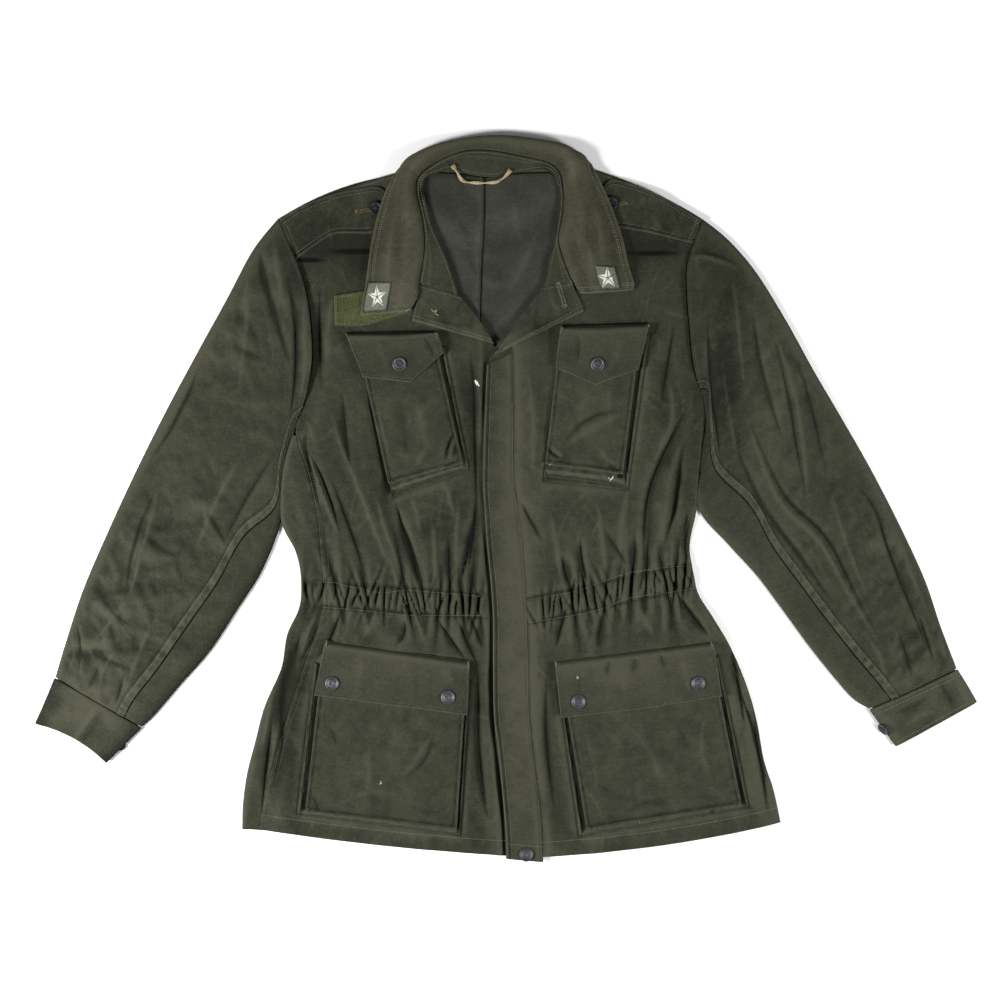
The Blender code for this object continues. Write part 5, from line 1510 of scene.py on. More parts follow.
def tube(points, radius, sides=5, twist=0.0, flat=1.0):
    """Points and faces of a thread or tape along 3-D points, closed at its ends."""
    points = np.asarray(points, float)
    along = unit(np.gradient(points, axis=0))
    up = np.array((0.02, 0.03, 1.0))
    side = unit(np.cross(along, up))
    above = np.cross(side, along)
    run = lengths_along(points)
    cosine, sine = np.cos(twist * run)[:, None], np.sin(twist * run)[:, None]
    vertices = []
    for k in range(sides):
        a = 2 * math.pi * k / sides
        u, v = math.cos(a) * radius, math.sin(a) * radius * flat
        vertices.append(points + side * (u * cosine - v * sine) + above * (u * sine + v * cosine))
    vertices = np.array(vertices).transpose(1, 0, 2).reshape(-1, 3)
    faces = []
    for i in range(len(points) - 1):
        for k in range(sides):
            a, b = i * sides + k, i * sides + (k + 1) % sides
            faces.append((a, b, b + sides, a + sides))
    last = (len(points) - 1) * sides
    faces.append(tuple(range(sides))[::-1])
    faces.append(tuple(last + k for k in range(sides)))
    return vertices, faces


def joined(name, parts, paints):
    """One mesh from (vertices, faces) parts, each with the number of its paint."""
    vertices, faces, marks, first = [], [], [], 0
    for (points, polygons), paint in parts:
        vertices.append(points)
        faces += [tuple(v + first for v in polygon) for polygon in polygons]
        marks += [paint] * len(polygons)
        first += len(points)
    made = mesh_object(name, np.concatenate(vertices), faces, smooth_angle=70)
    face_outwards(made)
    for paint in paints:
        made.data.materials.append(paint)
    made.data.polygons.foreach_set("material_index", marks)
    return made


# ---- stars, hanger loop, loop tape
# Where each patch lies on the fall: its first and last row, and shares of the fall's width.
STAR_PATCH = {"l": (0.3, 1.98, 0.575, 0.955), "r": (21.6, 23.6, 0.50, 0.78)}
# Middle line of the hanger loop, and the two edges of the loop tape.
LOOP_PATH = [
    (-62, 385, 10.3), (-57, 378, 9.4), (-52, 369.5, 7.8), (-44, 366, 7.0), (-27, 365.4, 6.8),
    (-13, 366, 7.0), (-4, 370, 8.0), (1, 374.5, 9.0), (5, 379.5, 10.2)]
LOOP_TAPE = [(-199, 235, -198, 200), (-165, 240, -163, 201), (-135, 244, -135, 209), (-111, 248, -109, 217)]
STAR_R = {"l": (10.8, 13.6), "r": (12.6, 12.6)}     # across and up: the left patch slopes away
STAR_TURN = {"l": 4.0, "r": 5.0}     # degrees


def star_patch(side):
    row_a, row_b, share_a, share_b = STAR_PATCH[side]
    rows = through(FALL, np.linspace(row_a, row_b, 21))
    grid = fall_points(rows, np.linspace(share_a, share_b, 21))
    normals = normals_of(grid)
    ragged = 0.55 * hills(grid[..., 0] * 3, grid[..., 1] * 3, 5, 95)
    edge = np.ones((21, 21))
    edge[1:-1, 1:-1] = 0
    inward = unit(grid.mean(axis=(0, 1)) - grid)
    grid = grid + inward * (ragged * edge)[..., None]
    wear = 0.5 * smooth(hills(grid[..., 0], grid[..., 1], 5, 96))
    return shell("star_patch_%s_cloth" % side, grid + normals * (DOUBLE / 2 + SEAM + 0.5), 1.0, wear=wear)


def star(side, paints):
    """A plain five-pointed star: two facets an arm, each pair meeting in a dark line of stitches."""
    cloth = "star_patch_%s_cloth" % side
    centre = SURFACES[cloth].mean(axis=(0, 1))
    turn = math.radians(90 + STAR_TURN[side])
    parts = []
    wide, high = STAR_R[side]
    inner = 0.42

    def spot(radius, angle, rise):
        x, y = centre[0] + wide * radius * math.cos(angle), centre[1] + high * radius * math.sin(angle)
        return (x, y, resting(cloth, x, y) + rise)

    for arm in range(5):
        a = turn + arm * 2 * math.pi / 5
        for sign in (-1, 1):
            b = a + sign * math.pi / 5
            top = [spot(0.02, a, 0.42), spot(1, a, 0.22), spot(inner, b, 0.3)]
            ridge = [spot(0.45, a + sign * 0.22, 0.62)]
            low = [spot(0.02, a, -0.15), spot(1, a, -0.15), spot(inner, b, -0.15)]
            faces = [(0, 1, 3), (1, 2, 3), (2, 0, 3), (4, 6, 5), (0, 4, 5, 1), (1, 5, 6, 2), (2, 6, 4, 0)]
            parts.append(((np.array(top + ridge + low), faces), 0))
        line = [spot(r, a, 0.62) for r in np.linspace(0.03, 0.86, 9)]
        parts.append((tube(line, 0.34, 4, flat=0.5), 1))
    rim = SURFACES[cloth]
    border = np.concatenate((rim[0], rim[1:, -1], rim[-1, -2::-1], rim[-2:0:-1, 0]))
    away = unit(border - centre)
    for k in range(len(border)):
        for shift in (0.0, 0.5):
            foot = border[k] * (1 - shift) + border[(k + 1) % len(border)] * shift
            bend = 0.6 * float(hills(foot[0] * 7 + shift, foot[1] * 7, 5, 97))
            aside = np.array((-away[k][1], away[k][0], 0)) * bend
            reach = 0.9 + 0.5 * float(hills(foot[0] * 5, foot[1] * 5 + shift, 5, 98))
            line = [foot - away[k] * 0.8, foot + away[k] * reach * 0.5 + aside * 0.3,
                    foot + away[k] * reach + aside + np.array((0, 0, -0.2))]
            parts.append((tube(line, 0.16, 3), 2))
    return joined("star_%s_sewn" % side, parts, paints)


def hanger_loop(paints):
    """A khaki tape folded along its length and twisted, sewn down at both ends."""
    knots = np.array(LOOP_PATH, float)
    points = through(knots, np.linspace(0, len(knots) - 1, 90))
    points[:, 2] += 0.25
    run = np.linspace(0, 1, 90)
    parts = [(tube(points, 2.1, 12, twist=0.16, flat=0.5), 0)]
    swell = points + np.stack((0.2 * np.sin(run * 40), 0.4 * np.cos(run * 33), 0.3 + 0 * run), axis=1)
    parts.append((tube(swell[4:-4], 1.1, 8, twist=0.4, flat=0.7), 0))
    for end in (points[:7], points[-7:]):
        parts.append((tube(end + np.array((0, 0, 0.35)), 2.6, 10, flat=0.5), 0))
        parts.append((tube(satin(end[1:6], 2.3, 0.9, 1.75), 0.2, 4), 1))
    return joined("hanger_loop_tape", parts, paints)


def placket_height(x, y):
    """The placket's folded edge lies free; its other edge is sewn down on the front."""
    sewn = edge_x(PLACKET, y, 2)
    return on_front("r", FACED)(x, y) - (LIE + FACED - 0.35) * smooth((x - sewn + 6) / 6)


def straps_and_tape():
    made = []
    for side, table in (("l", STRAP_L), ("r", STRAP_R)):
        made.append(strip("strap_%s_cloth" % side, table, on_front(side, DOUBLE), DOUBLE, columns=33,
                          bulge=0.5, rough=0.5, seed=61, grain=0.25 if side == "l" else -0.3))
    for side, table, columns, seed, grain in (("l", LAPEL_L, 49, 63, 0.9), ("r", LAPEL_R, 61, 64, -0.9)):
        made.append(strip("lapel_%s_cloth" % side, table, on_front(side, FACED), FACED, columns=columns,
                          bulge=1.2, bend=straight, rough=0.55, seed=seed, sewn=("first", "ends"),
                          grain=grain, step=1.6))
    made.append(strip("placket_cloth", PLACKET, placket_height, FACED, step=2.2, columns=25, rough=0.5,
                      seed=65, sewn=("first",), worn=0.8))
    made.append(strip("loop_tape_cloth", LOOP_TAPE, on_front("l", CLOTH), CLOTH, columns=21, rough=0.3,
                      seed=66, sewn=(), worn=0.0))
    return made


# ---- stitches
# Each seam is a run of points on the cloth; Geometry Nodes lay a stitch at each pitch along it.
STITCH = {"Pitch": 3.0, "Length": 2.3, "Width": 0.72, "Height": 0.5, "Unevenness": 0.16}
DASH = {**STITCH, "Pitch": 2.1, "Length": 1.3, "Width": 1.5}     # the dark dashes along the armhole
CHANNEL_SEAMS = {
    "l": [
        [(-235.5, -95.7), (-204, -96.9), (-186.8, -100.3), (-146.2, -108.5), (-116, -106.1),
         (-82.4, -108.5), (-31, -113)],
        [(-233.2, -124.7), (-181, -128.2), (-146.2, -131.7), (-106.7, -135.1), (-31, -135.1)]],
    "r": [
        [(28, -116.6), (74.2, -108.5), (97.4, -101.5), (128.8, -89.9), (146.2, -85.3),
         (187.9, -79.5), (212, -78.3)],
        [(28, -143.3), (70.8, -136.3), (109, -128.2), (141.5, -115.4), (183.3, -109.6), (217, -103.8)]],
}
ELBOW_SEAM = {
    "l": [(-411, 56), (-421, 43.5), (-433.8, 9.9), (-447, -11)],
    "r": [(411, 49), (421.1, 33.1), (434, 1), (442, -10)]}
KEYHOLE = [(60.3, 249.5), (63.5, 238), (67.6, 225)]
SMEARS = [(-34.5, 134, 1.2), (-32.5, 132.5, 0.7)]     # dried paint beside the placket
STRAP_HOLE = {"l": [(-173, 332), (-156, 334.6)], "r": [(127, 340.5), (139, 341.8)]}


class Nodes:
    """A node tree whose nodes are added and wired one call at a time."""
    prefix = ""

    def __init__(self, tree):
        self.tree = tree

    def put(self, socket, value):
        if isinstance(value, bpy.types.NodeSocket):
            self.tree.links.new(value, socket)
        else:
            socket.default_value = value

    def add(self, kind, inputs=(), output=0, **settings):
        node = self.tree.nodes.new(self.prefix + kind)
        for key, value in settings.items():
            setattr(node, key, value)
        for key, value in dict(inputs).items():
            self.put(node.inputs[key], value)
        return node.outputs[output]


def stitch_nodes():
    """The stitches of a seam: a bead at each pitch along the curve, turned to it, of uneven size."""
    tree = bpy.data.node_groups.new("stitches_along_a_seam", "GeometryNodeTree")
    tree.interface.new_socket("Geometry", in_out="OUTPUT", socket_type="NodeSocketGeometry")
    for name, kind in (("Geometry", "Geometry"), *((size, "Float") for size in STITCH), ("Seed", "Int"),
                       ("Thread", "Material")):
        tree.interface.new_socket(name, in_out="INPUT", socket_type="NodeSocket" + kind)
    given = tree.nodes.new("NodeGroupInput").outputs
    add = Nodes(tree).add
    line = add("GeometryNodeMeshToCurve", {"Mesh": given["Geometry"]})
    even = add("GeometryNodeResampleCurve", {"Curve": line, "Length": given["Pitch"]}, mode="LENGTH")
    bead = add("GeometryNodeMeshUVSphere", {"Segments": 5, "Rings": 3, "Radius": 0.5})
    turn = add("FunctionNodeAlignRotationToVector", {"Vector": add("GeometryNodeInputTangent")}, axis="X")
    size = add("ShaderNodeCombineXYZ", {"X": given["Length"], "Y": given["Width"], "Z": given["Height"]})
    least, most = (add("ShaderNodeMath", {0: 1.0, 1: given["Unevenness"]}, operation=way)
                   for way in ("SUBTRACT", "ADD"))
    drawn = add("FunctionNodeRandomValue", {2: least, 3: most, "Seed": given["Seed"]}, 1, data_type="FLOAT")
    scale = add("ShaderNodeVectorMath", {0: size, "Scale": drawn}, operation="SCALE")
    beads = add("GeometryNodeInstanceOnPoints", {"Points": even, "Instance": bead, "Rotation": turn,
                                                 "Scale": scale})
    real = add("GeometryNodeRealizeInstances", {"Geometry": beads})
    soft = add("GeometryNodeSetShadeSmooth", {"Geometry": real})
    painted = add("GeometryNodeSetMaterial", {"Geometry": soft, "Material": given["Thread"]})
    tree.links.new(painted, tree.nodes.new("NodeGroupOutput").inputs[0])
    return tree


def sewn(name, tree, runs, paint, seed, sizes):
    """The stitches of several runs as one plain mesh."""
    vertices, edges = [], []
    for run in runs:
        if len(run) < 2:
            continue
        first = len(vertices)
        vertices += [tuple(p) for p in run]
        edges += [(first + k, first + k + 1) for k in range(len(run) - 1)]
    mesh = bpy.data.meshes.new(name + "_lines")
    mesh.from_pydata(np.array(vertices) * MM, edges, [])
    made = placed(name, mesh)
    modifier = made.modifiers.new("stitches", "NODES")
    modifier.node_group = tree
    values = {key: value * (1 if key == "Unevenness" else MM) for key, value in sizes.items()}
    values.update({"Seed": seed, "Thread": paint})
    for item in tree.interface.items_tree:
        if item.in_out == "INPUT" and item.name in values:
            modifier[item.identifier] = values[item.name]
    bpy.context.view_layer.update()
    held = made.evaluated_get(bpy.context.evaluated_depsgraph_get())
    plain = bpy.data.meshes.new_from_object(held)
    made.modifiers.clear()
    made.data = plain
    return made


def share_of(line, start, end):
    """Part of a run of points, by shares of its count."""
    count = len(line)
    return line[int(start * count):max(int(end * count), int(start * count) + 2)]


def body_runs():
    light, dark = [], []
    for side in ("l", "r"):
        name = "front_%s_cloth" % side
        for distance in SIDE_SEAMS:
            dark.append(share_of(edge_line(name, "left", distance), 0.42, 0.985))
        light.append(share_of(edge_line(name, "bottom", HEM_SEAM), 0.01, 0.99))
        light.append(share_of(edge_line(name, "top", 4.0), 0.02, 0.9))
        for path in CHANNEL_SEAMS[side]:
            light.append(laid(name, path))
    dashes = [share_of(edge_line("front_r_cloth", "left", 1.6), 0.06, 0.36)]
    light.append(edge_line("placket_cloth", "left", EDGE_SEAM))
    light.append(share_of(edge_line("placket_cloth", "right", 1.6), 0.1, 1))
    light.append(edge_line("placket_cloth", "bottom", HEM_SEAM))
    dark.append(laid("back_l_cloth", [(x - 4.4, y) for x, y in CENTRE_BACK[:5]][::-1]))
    for edge in ("left", "right", "top", "bottom"):
        light.append(edge_line("loop_tape_cloth", edge, TAPE_SEAM, trim=2.0, rise=0.7))
    return light, dark, dashes


def sleeve_runs():
    runs, light = [], []
    for side in ("l", "r"):
        top, end = "sleeve_top_%s_cloth" % side, "cuff_%s_cloth" % side
        light.append(edge_line(top, "right", SLEEVE_BAND - 0.8))
        runs.append(edge_line(top, "right", 1.6))
        runs += [laid(top, ELBOW_SEAM[side]), laid(top, beside(ELBOW_SEAM[side], 4.5))]
        runs += [share_of(edge_line(top, "top", 3.2), 0.05, 0.98)]
        light += [edge_line(end, "top", gap, trim=1.0) for gap in CUFF_SEAMS]
        light.append(edge_line(end, "bottom", 4.0, trim=1.0))
    return runs, light


def collar_runs():
    fall = "collar_fall_cloth"
    runs = []
    for edge in ("right", "top", "bottom"):
        runs += [edge_line(fall, edge, EDGE_SEAM), edge_line(fall, edge, EDGE_SEAM + SECOND_SEAM)]
    runs += [edge_line("collar_stand_cloth", "left", 2.0), edge_line("collar_stand_cloth", "right", 3.0)]
    for side in ("l", "r"):
        name = "lapel_%s_cloth" % side
        runs += [edge_line(name, "left", EDGE_SEAM), edge_line(name, "bottom", EDGE_SEAM),
                 edge_line(name, "top", 4.0)]
        name = "strap_%s_cloth" % side
        for edge in ("left", "right", "bottom"):
            runs.append(edge_line(name, edge, EDGE_SEAM, trim=3.0))
        runs.append(edge_line(name, "top", 5.0, trim=2.0))
    return runs


def pocket_runs():
    runs = []
    for name in POCKETS:
        plate, cover, gusset = name + "_front_cloth", name + "_flap_cloth", name + "_bellows_cloth"
        for edge in ("left", "right", "bottom"):
            runs.append(edge_line(plate, edge, POCKET_SEAM, trim=1.0))
            runs.append(edge_line(cover, edge, FLAP_SEAM, trim=3.0))
        runs += [edge_line(cover, "top", 1.8)]
        runs += [edge_line(gusset, "left", 1.6), edge_line(gusset, "left", 4.6)]
    return runs


# Loose threads and lint: the piece under each, its path and the number of its paint.
LOOSE = [
    ("lapel_r_cloth", [(73, 254), (76, 250), (80, 247), (84, 249), (88, 252), (92, 250), (96, 246),
                       (100, 240)], 1),
    ("lapel_l_cloth", [(-86, 219), (-84, 216), (-80, 218), (-82, 214), (-78, 212)], 1),
    ("collar_fall_cloth", [(-136, 214), (-128, 213.5), (-120, 215), (-111, 219)], 1),
    ("chest_r_bellows_cloth", [(118, 24), (122, 22), (124, 26), (120, 20)], 4),
    ("chest_r_bellows_cloth", [(52, 43), (54, 40), (50, 39)], 4),
    ("skirt_l_front_cloth", [(-145, -326), (-143.5, -328.5), (-146, -329)], 4),
    ("skirt_r_bellows_cloth", [(154, -370), (156, -372), (154, -374)], 4),
    ("skirt_r_flap_cloth", [(81, -205), (83.5, -206.5), (81, -207.5)], 4)]


def small_sewing(button_threads, paints):
    """Buttonholes, bar tacks, loose threads and the threads of the buttons, with their paints' numbers:
    0 olive thread, 1 khaki thread, 2 dark slit, 3 black button thread, 4 white lint."""
    parts = []

    def thread(points, radius, paint):
        points = np.asarray(points, float)
        t = np.linspace(0, len(points) - 1, 6 * (len(points) - 1) + 1)
        parts.append((tube(through(points, t), radius, 5), paint))

    def tack(name, ends, half, paint=0, pitch=0.6):
        line = laid(name, ends, 1.0, 0.1, bent=False)
        if len(line) > 1:
            parts.append((tube(satin(line, half, pitch, 0.15), 0.26, 4), paint))

    def hole(name, path, half, paint):
        line = np.array(laid(name, path, 1.0, 0.05, bent=len(path) > 2))
        parts.append((tube(line + (0, 0, 0.12), 0.55, 6, flat=0.3), 2))
        along = unit(np.gradient(line, axis=0))
        side = sideways(along) * half
        ring = np.concatenate((line + side, [line[-1] + along[-1] * half], (line - side)[::-1],
                               [line[0] - along[0] * half], [line[0] + side[0]]))
        parts.append((tube(satin(ring, half * 0.62, 0.55, 0.2), 0.27, 4), paint))
        return line

    key = hole("lapel_r_cloth", KEYHOLE, 1.5, 1)
    eye = [key[-1] + np.array((2.3 * math.cos(a), -2.0 + 2.3 * math.sin(a), 0.1))
           for a in np.linspace(0, 6.5, 26)]
    parts.append((tube(satin(eye, 0.8, 0.55, 0.25), 0.27, 4), 1))
    for side, path in STRAP_HOLE.items():
        hole("strap_%s_cloth" % side, path, 1.3, 1)
    tack("collar_fall_cloth", [(-104.5, 238), (-103.5, 216)], 1.5, 1)
    for name in POCKETS:
        (lx, ly), (rx, ry) = FLAPS[name]["top"]
        tack(name + "_flap_cloth", [(lx + 2, ly - 1.5), (lx + 1, ly - 9)], 1.1)
        tack(name + "_flap_cloth", [(rx - 2, ry - 1.5), (rx - 1, ry - 9)], 1.1)
        (rx, ry), (lx, ly) = POCKETS[name]["front"][2:]
        tack(name + "_front_cloth", [(lx + 3, ly + 3), (lx + 9, ly + 3)], 1.0)
        tack(name + "_front_cloth", [(rx - 9, ry + 3), (rx - 3, ry + 3)], 1.0)
    for name, path, paint in LOOSE:
        points = laid([name, "front_%s_cloth" % ("l" if path[0][0] < 0 else "r")], path, 1.2, 0.35)
        if len(points) > 2:
            thread(points, 0.3, paint)
    for points in button_threads:
        thread(points, 0.3, 3)
    for x, y, radius in SMEARS:
        line = laid("front_l_cloth", [(x - 1, y + 3), (x, y), (x + 1.5, y - 2.5)], 0.8, 0.05)
        parts.append((tube(line, radius, 8, flat=0.2), 4))
    return joined("buttonholes_and_tacks", parts, paints)


# ---- pile of the loop tape
def pile(paint, count=3000):
    """Small loops that stand on the loop tape, each turned and leaning its own way."""
    grid = SURFACES["loop_tape_cloth"]
    draw = np.random.default_rng(7)
    rows, columns = grid.shape[:2]
    r, c = draw.uniform(0.3, rows - 1.3, count), draw.uniform(0.3, columns - 1.3, count)
    i, j = r.astype(int), c.astype(int)
    f, g = (r - i)[:, None], (c - j)[:, None]
    feet = ((grid[i, j] * (1 - f) + grid[i + 1, j] * f) * (1 - g)
            + (grid[i, j + 1] * (1 - f) + grid[i + 1, j + 1] * f) * g)
    turn = draw.uniform(0, 2 * math.pi, count)
    wide, tall = draw.uniform(0.45, 0.8, count), draw.uniform(0.5, 1.0, count)
    lean = draw.normal(0, 0.3, (count, 2))
    vertices, faces = [], []
    arch = np.linspace(0, math.pi, 4)
    for k in range(count):
        heading = np.array((math.cos(turn[k]), math.sin(turn[k]), 0))
        tip = np.array((lean[k, 0], lean[k, 1], 1.0)) * tall[k]
        line = np.array([feet[k] + heading * wide[k] * math.cos(a) + tip * math.sin(a) * 1.1 - (0, 0, 0.15)
                         for a in arch])
        points, polygons = tube(line, 0.15, 3)
        first = len(vertices) * len(points)
        vertices.append(points)
        faces += [tuple(v + first for v in polygon) for polygon in polygons]
    made = mesh_object("loop_tape_pile", np.concatenate(vertices), faces, smooth_angle=80)
    face_outwards(made)
    made.data.materials.append(paint)
    return made


# ---- materials
class Paint(Nodes):
    """A material; its nodes lead to the shader's inputs."""
    prefix = "ShaderNode"

    def __init__(self, name, **values):
        self.material = bpy.data.materials.new(name)
        self.material.use_nodes = True
        super().__init__(self.material.node_tree)
        self.set(**values)
        self.place = self.add("TexCoord", output=3)

    def set(self, **values):
        for key, value in values.items():
            self.put(self.tree.nodes["Principled BSDF"].inputs[key.replace("_", " ")], value)
        return self.material

    def sum(self, *terms):
        """Sum of value * weight pairs and a last plain number."""
        total = terms[-1]
        for value, weight in terms[:-1]:
            total = self.add("Math", {0: value, 1: weight, 2: total}, operation="MULTIPLY_ADD")
        return total

    def mix(self, share, a, b):
        return self.add("Mix", {0: share, 6: a, 7: b}, 2, data_type="RGBA", clamp_factor=True)

    def noise(self, scale, detail=3.0, rough=0.55, place=None):
        return self.add("TexNoise", {"Vector": place or self.place, "Scale": scale, "Detail": detail,
                                     "Roughness": rough})

    def mark(self, name):
        return self.add("Attribute", output=2, attribute_name=name)

    def times(self, a, b):
        return self.add("Math", {0: a, 1: b}, operation="MULTIPLY")

    def bump(self, strength, distance, height, **before):
        return self.add("Bump", {"Strength": strength, "Distance": distance, "Height": height, **before})

    def spread(self, value, low, high):
        return self.add("MapRange", {"Value": value, "From Min": low, "From Max": high}, clamp=True)


def four(color):
    return (*color, 1.0)


def twill(name, dark, base, light, worn, gloss=0.86, sheen=0.02, tint=(0.5, 0.5, 0.42), twill_pitch=0.75,
          spots=0.4):
    """Washed cotton twill: diagonal wales, slubs, faded patches and worn edges, with painted light and
    shade on crests, in valleys and in gaps.
    """
    p = Paint(name, Roughness=gloss, Sheen_Weight=sheen, Sheen_Roughness=0.45, Sheen_Tint=four(tint),
              Specular_IOR_Level=0.07)
    weave = p.add("UVMap", uv_map="grain")
    broad, middle, fine = p.noise(9.0, 2.0), p.noise(38.0, 4.0, 0.6), p.noise(210.0, 4.0, 0.7)
    grit = p.noise(640.0, 3.0, 0.75)
    diagonal = p.add("Mapping", {"Vector": weave, "Rotation": (0, 0, math.radians(58))})
    wales = p.add("TexWave", {"Vector": diagonal, "Scale": 0.314 / (twill_pitch * MM), "Distortion": 0.7,
                              "Detail": 2.0, "Detail Scale": 3.0}, 1, wave_profile="SIN")
    slub = p.noise(1.0, 2.0, place=p.add("Mapping", {"Vector": weave, "Scale": (60.0, 700.0, 1.0)}))
    # ridge paints crests paler and valleys darker, and tone adds painted shade and light by place; the
    # noises are the cloth's own uneven tone
    tone = p.sum((broad, 0.3), (middle, 0.3), (fine, 0.5), (grit, 1.25), (slub, 0.4), (wales, 0.16),
                 (p.mark("ridge"), 1.0), (p.mark("tone"), 1.5), -2.205)
    shade = p.mix(p.spread(tone, 0.0, 0.5), four(dark), four(base))
    shade = p.mix(p.spread(tone, 0.5, 1.05), shade, four(light))
    # painted shade, nearly black, along the line mark: bottoms of creases and gaps in shadow
    line = p.spread(p.sum((p.mark("line"), 1.0), (fine, 0.3), -0.15), 0.15, 0.6)
    shade = p.mix(line, shade, four([c * 0.25 for c in dark]))
    # paler where the cloth is worn, and where a sheen is painted into the wear mark
    rub_and_sheen = p.sum((p.mark("wear"), 1.0), (fine, 0.5), (grit, 0.35), -0.45)
    shade = p.mix(p.times(p.spread(rub_and_sheen, 0.0, 1.0), 0.55), shade, four(worn))
    stain = p.times(p.spread(p.noise(21.0, 3.0, 0.6), 0.6, 0.75), spots)
    shade = p.mix(stain, shade, four([c * 0.8 for c in base]))
    height = p.sum((wales, 0.55), (slub, 0.45), (grit, 0.5), (p.noise(2600.0, 2.0, place=weave), 0.4), 0.0)
    crinkle = p.sum((p.noise(150.0, 3.0, 0.6), 1.0), (p.noise(420.0, 2.0), 0.3), 0.0)
    normal = p.bump(0.5, 0.0009, crinkle, Normal=p.bump(0.55, 0.00022, height))
    return p.set(Base_Color=shade, Normal=normal)


def thread_paint(name, color, second, gloss=0.7):
    p = Paint(name, Roughness=gloss, Sheen_Weight=0.2, Specular_IOR_Level=0.3)
    specks = p.mix(p.spread(p.noise(700.0, 2.0), 0.35, 0.65), four(color), four(second))
    return p.set(Base_Color=specks, Normal=p.bump(0.4, 0.0001, p.noise(2400.0, 2.0)))


def metal_paint():
    p = Paint("snap_gunmetal", Metallic=0.85)
    broad, fine = p.noise(130.0, 3.0), p.noise(1100.0, 4.0, 0.7)
    scuffs = p.spread(p.sum((broad, 0.6), (fine, 0.6), 0.0), 0.5, 0.78)
    return p.set(Base_Color=p.mix(scuffs, (0.048, 0.048, 0.054, 1), (0.118, 0.118, 0.131, 1)),
                 Roughness=p.sum((fine, 0.3), 0.36), Normal=p.bump(0.25, 0.0001, fine))


def button_paint():
    p = Paint("button_dark_blue", Coat_Weight=0.1, Coat_Roughness=0.2, Specular_IOR_Level=0.25)
    cloud, fine = p.spread(p.noise(220.0, 3.0), 0.4, 0.7), p.noise(1500.0, 3.0)
    return p.set(Base_Color=p.mix(cloud, (0.003, 0.0035, 0.005, 1), (0.010, 0.012, 0.016, 1)),
                 Roughness=p.sum((fine, 0.25), 0.36), Normal=p.bump(0.2, 0.0001, fine))


def floor_paint():
    p = Paint("floor_white", Roughness=0.9, Specular_IOR_Level=0.1)
    return p.set(Base_Color=p.mix(p.noise(2.0), (0.86, 0.86, 0.86, 1), (0.875, 0.875, 0.875, 1)))


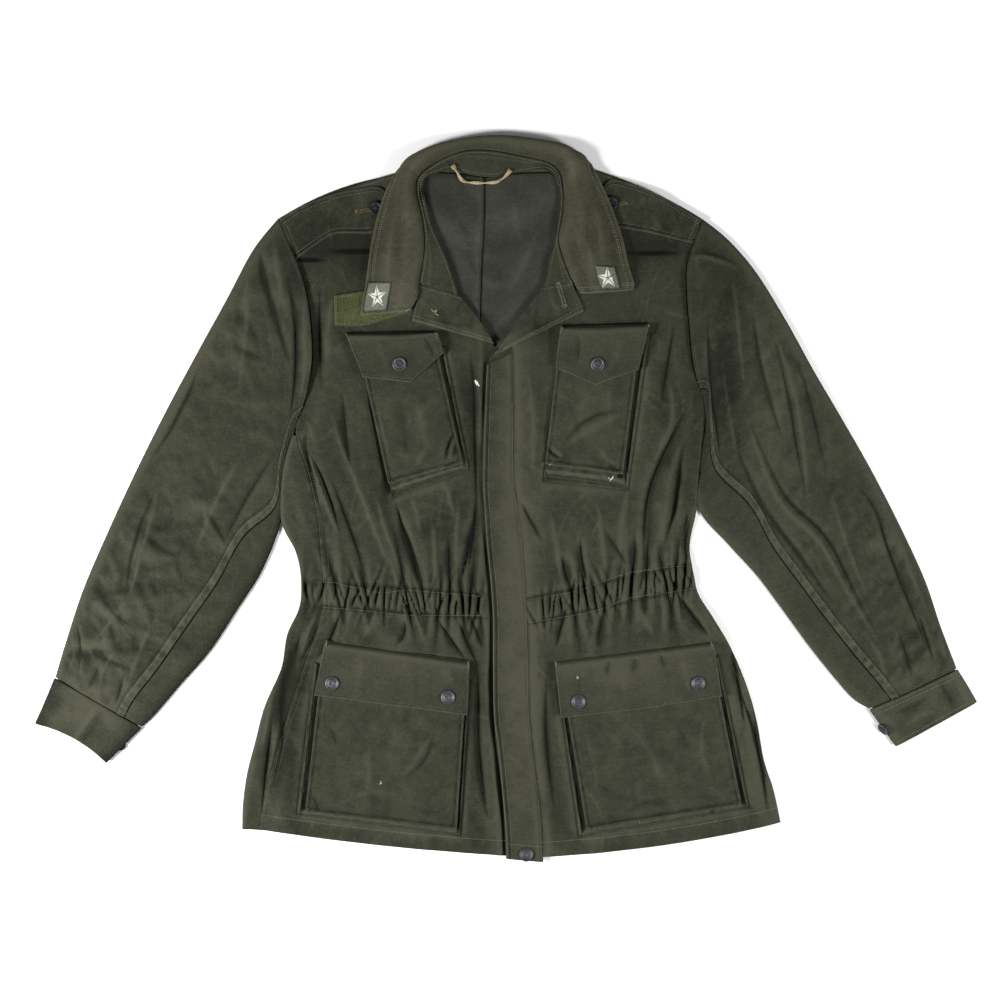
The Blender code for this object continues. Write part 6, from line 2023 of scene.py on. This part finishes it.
# ---- the jacket
def dressed():
    olive = twill("olive_twill", (0.0115, 0.0122, 0.0080), (0.0268, 0.0282, 0.0186),
                  (0.0475, 0.0485, 0.0325), (0.098, 0.099, 0.070))
    # the collar has a paler, browner copy of the twill: painted sheen on the same cloth
    sheen_painted_twill = twill("olive_twill_collar", (0.0150, 0.0148, 0.0095), (0.0350, 0.0348, 0.0225),
                     (0.058, 0.057, 0.038), (0.115, 0.110, 0.074), gloss=0.72, sheen=0.05,
                     tint=(0.55, 0.5, 0.38))
    inside_cloth = twill("inside_twill", (0.0160, 0.0160, 0.0132), (0.0300, 0.0300, 0.0245),
                         (0.050, 0.050, 0.041), (0.07, 0.07, 0.058), sheen=0.01, spots=0.3)
    green = twill("tape_ground", (0.03, 0.036, 0.012), (0.055, 0.066, 0.023), (0.09, 0.1, 0.04),
                  (0.14, 0.145, 0.08))
    patch = twill("star_ground", (0.060, 0.064, 0.047), (0.100, 0.107, 0.080), (0.150, 0.160, 0.122),
                  (0.2, 0.22, 0.16), twill_pitch=0.6, spots=0.2)
    pile_paint = thread_paint("tape_pile", (0.055, 0.068, 0.022), (0.12, 0.138, 0.05), 0.9)
    thread_light = thread_paint("olive_thread", (0.10, 0.097, 0.062), (0.17, 0.165, 0.11))
    thread_toned = thread_paint("olive_thread_dark", (0.045, 0.044, 0.029), (0.075, 0.073, 0.05))
    khaki = thread_paint("khaki_thread", (0.26, 0.21, 0.10), (0.4, 0.34, 0.18))
    khaki_flat = thread_paint("khaki_tape", (0.2, 0.165, 0.085), (0.34, 0.29, 0.16), 0.85)
    slit = thread_paint("dark_slit", (0.004, 0.004, 0.003), (0.009, 0.009, 0.007), 0.9)
    black = thread_paint("black_thread", (0.010, 0.011, 0.013), (0.022, 0.024, 0.027))
    lint = thread_paint("white_lint", (0.45, 0.45, 0.43), (0.6, 0.6, 0.57), 0.9)
    white = thread_paint("star_thread", (0.42, 0.43, 0.38), (0.56, 0.56, 0.5), 0.6)
    star_line = thread_paint("star_line_thread", (0.03, 0.036, 0.03), (0.06, 0.066, 0.054))
    metal, plastic = metal_paint(), button_paint()
    cloth = [front("l"), front("r")]
    backs = [back("l"), back("r")]
    for side in ("l", "r"):
        cloth += [sleeve_top(side), sleeve_under(side), cuff(side)]
    collar = [collar_fall()]
    cloth.append(collar_stand())
    strips = straps_and_tape()
    for name in POCKETS:
        cloth += [pocket_plate(name), pocket_bellows(name), flap(name)]
    for piece in cloth + strips[:-1]:
        give(piece, olive, "olive_twill", piece.name[:-6])
    for piece in backs:
        give(piece, inside_cloth, "inside_cloth", piece.name[:-6])
        turned_out(piece, olive)
    give(collar[0], sheen_painted_twill, "olive_twill", "collar_fall")
    give(strips[-1], green, "tape_green", "loop_tape")
    for side in ("l", "r"):
        give(star_patch(side), patch, "star_cloth", "star_patch_" + side)
        give(star(side, [white, star_line, patch]), None, "star_cloth")
    give(pile(pile_paint), None, "tape_green")
    give(hanger_loop([khaki_flat, khaki]), None, "khaki_tape", "hanger_loop")
    for piece in snaps():
        give(piece, metal, "gunmetal", piece.name[:-4])
    discs, threads = buttons()
    for piece in discs:
        give(piece, plastic, "button_blue", piece.name[:-5])
    tree = stitch_nodes()
    light, dark, dashes = body_runs()
    arms, cuffs = sleeve_runs()
    seams = [("body", light + cuffs, thread_light), ("armhole", dashes, slit),
             ("seams", dark + arms, thread_toned), ("collar", collar_runs(), thread_light),
             ("pockets", pocket_runs(), thread_toned)]
    for seed, (name, runs, paint) in enumerate(seams, 1):
        sizes = DASH if name == "armhole" else STITCH
        give(sewn("stitches_" + name, tree, runs, paint, seed, sizes), None, "olive_twill")
    give(small_sewing(threads, [thread_light, khaki, slit, black, lint]), None, "olive_twill")


def turned_out(piece, paint):
    """The outer side of the back: its underside, and the strip that turns round to the side seam."""
    piece.data.materials.append(paint)
    for face in piece.data.polygons:
        x, y, _ = face.center / MM
        strip = piece.name.startswith("back_l") and x < edge_x(SEAM_L, y)
        if face.normal.z < -0.3 or (strip and y < 130):
            face.material_index = 1


def give(piece, paint, slot, *nodes):
    if paint is not None:
        piece.data.materials.append(paint)
    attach(piece, "root")
    if nodes:
        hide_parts(*nodes)
    return piece


# ---- floor, camera and light
VIEW_CENTRE = (-7.0, -1.7)
VIEW_WIDTH = 1160.0
LENS = 85.0
SENSOR = 36.0
FLOOR_Z = -0.6
FLOOR_HALF = 6000.0
SKY = 0.2            # light from all round
# Lamps: name, place, size and power in watts; both face the jacket.
LAMPS = [("left_window", (-1300, -350, 1000), 420, 46), ("right_window", (1300, -500, 1000), 420, 30)]


def stage():
    mesh = bpy.data.meshes.new("floor")
    corners = [(a * FLOOR_HALF, b * FLOOR_HALF, FLOOR_Z) for a, b in ((-1, -1), (1, -1), (1, 1), (-1, 1))]
    mesh.from_pydata(np.array(corners) * MM, [], [(0, 1, 2, 3)])
    mesh.materials.append(floor_paint())
    floor = placed("floor", mesh)
    camera = placed("camera", bpy.data.cameras.new("camera"))
    camera.data.lens = LENS
    camera.data.sensor_width = SENSOR
    camera.location = (VIEW_CENTRE[0] * MM, VIEW_CENTRE[1] * MM, VIEW_WIDTH * LENS / SENSOR * MM)
    bpy.context.scene.camera = camera
    world = bpy.data.worlds.new("studio")
    world.use_nodes = True
    sky = world.node_tree.nodes["Background"].inputs
    sky["Color"].default_value = (1, 1, 1, 1)
    sky["Strength"].default_value = SKY
    bpy.context.scene.world = world
    for name, place, size, power in LAMPS:
        light = bpy.data.lights.new(name, "AREA")
        light.size = size * MM
        light.energy = power
        lamp = placed(name, light)
        lamp.location = [c * MM for c in place]
        lamp.rotation_mode = "QUATERNION"
        lamp.rotation_quaternion = (-lamp.location).to_track_quat("-Z", "Y")
    bpy.context.scene.view_settings.view_transform = "Standard"


dressed()
stage()
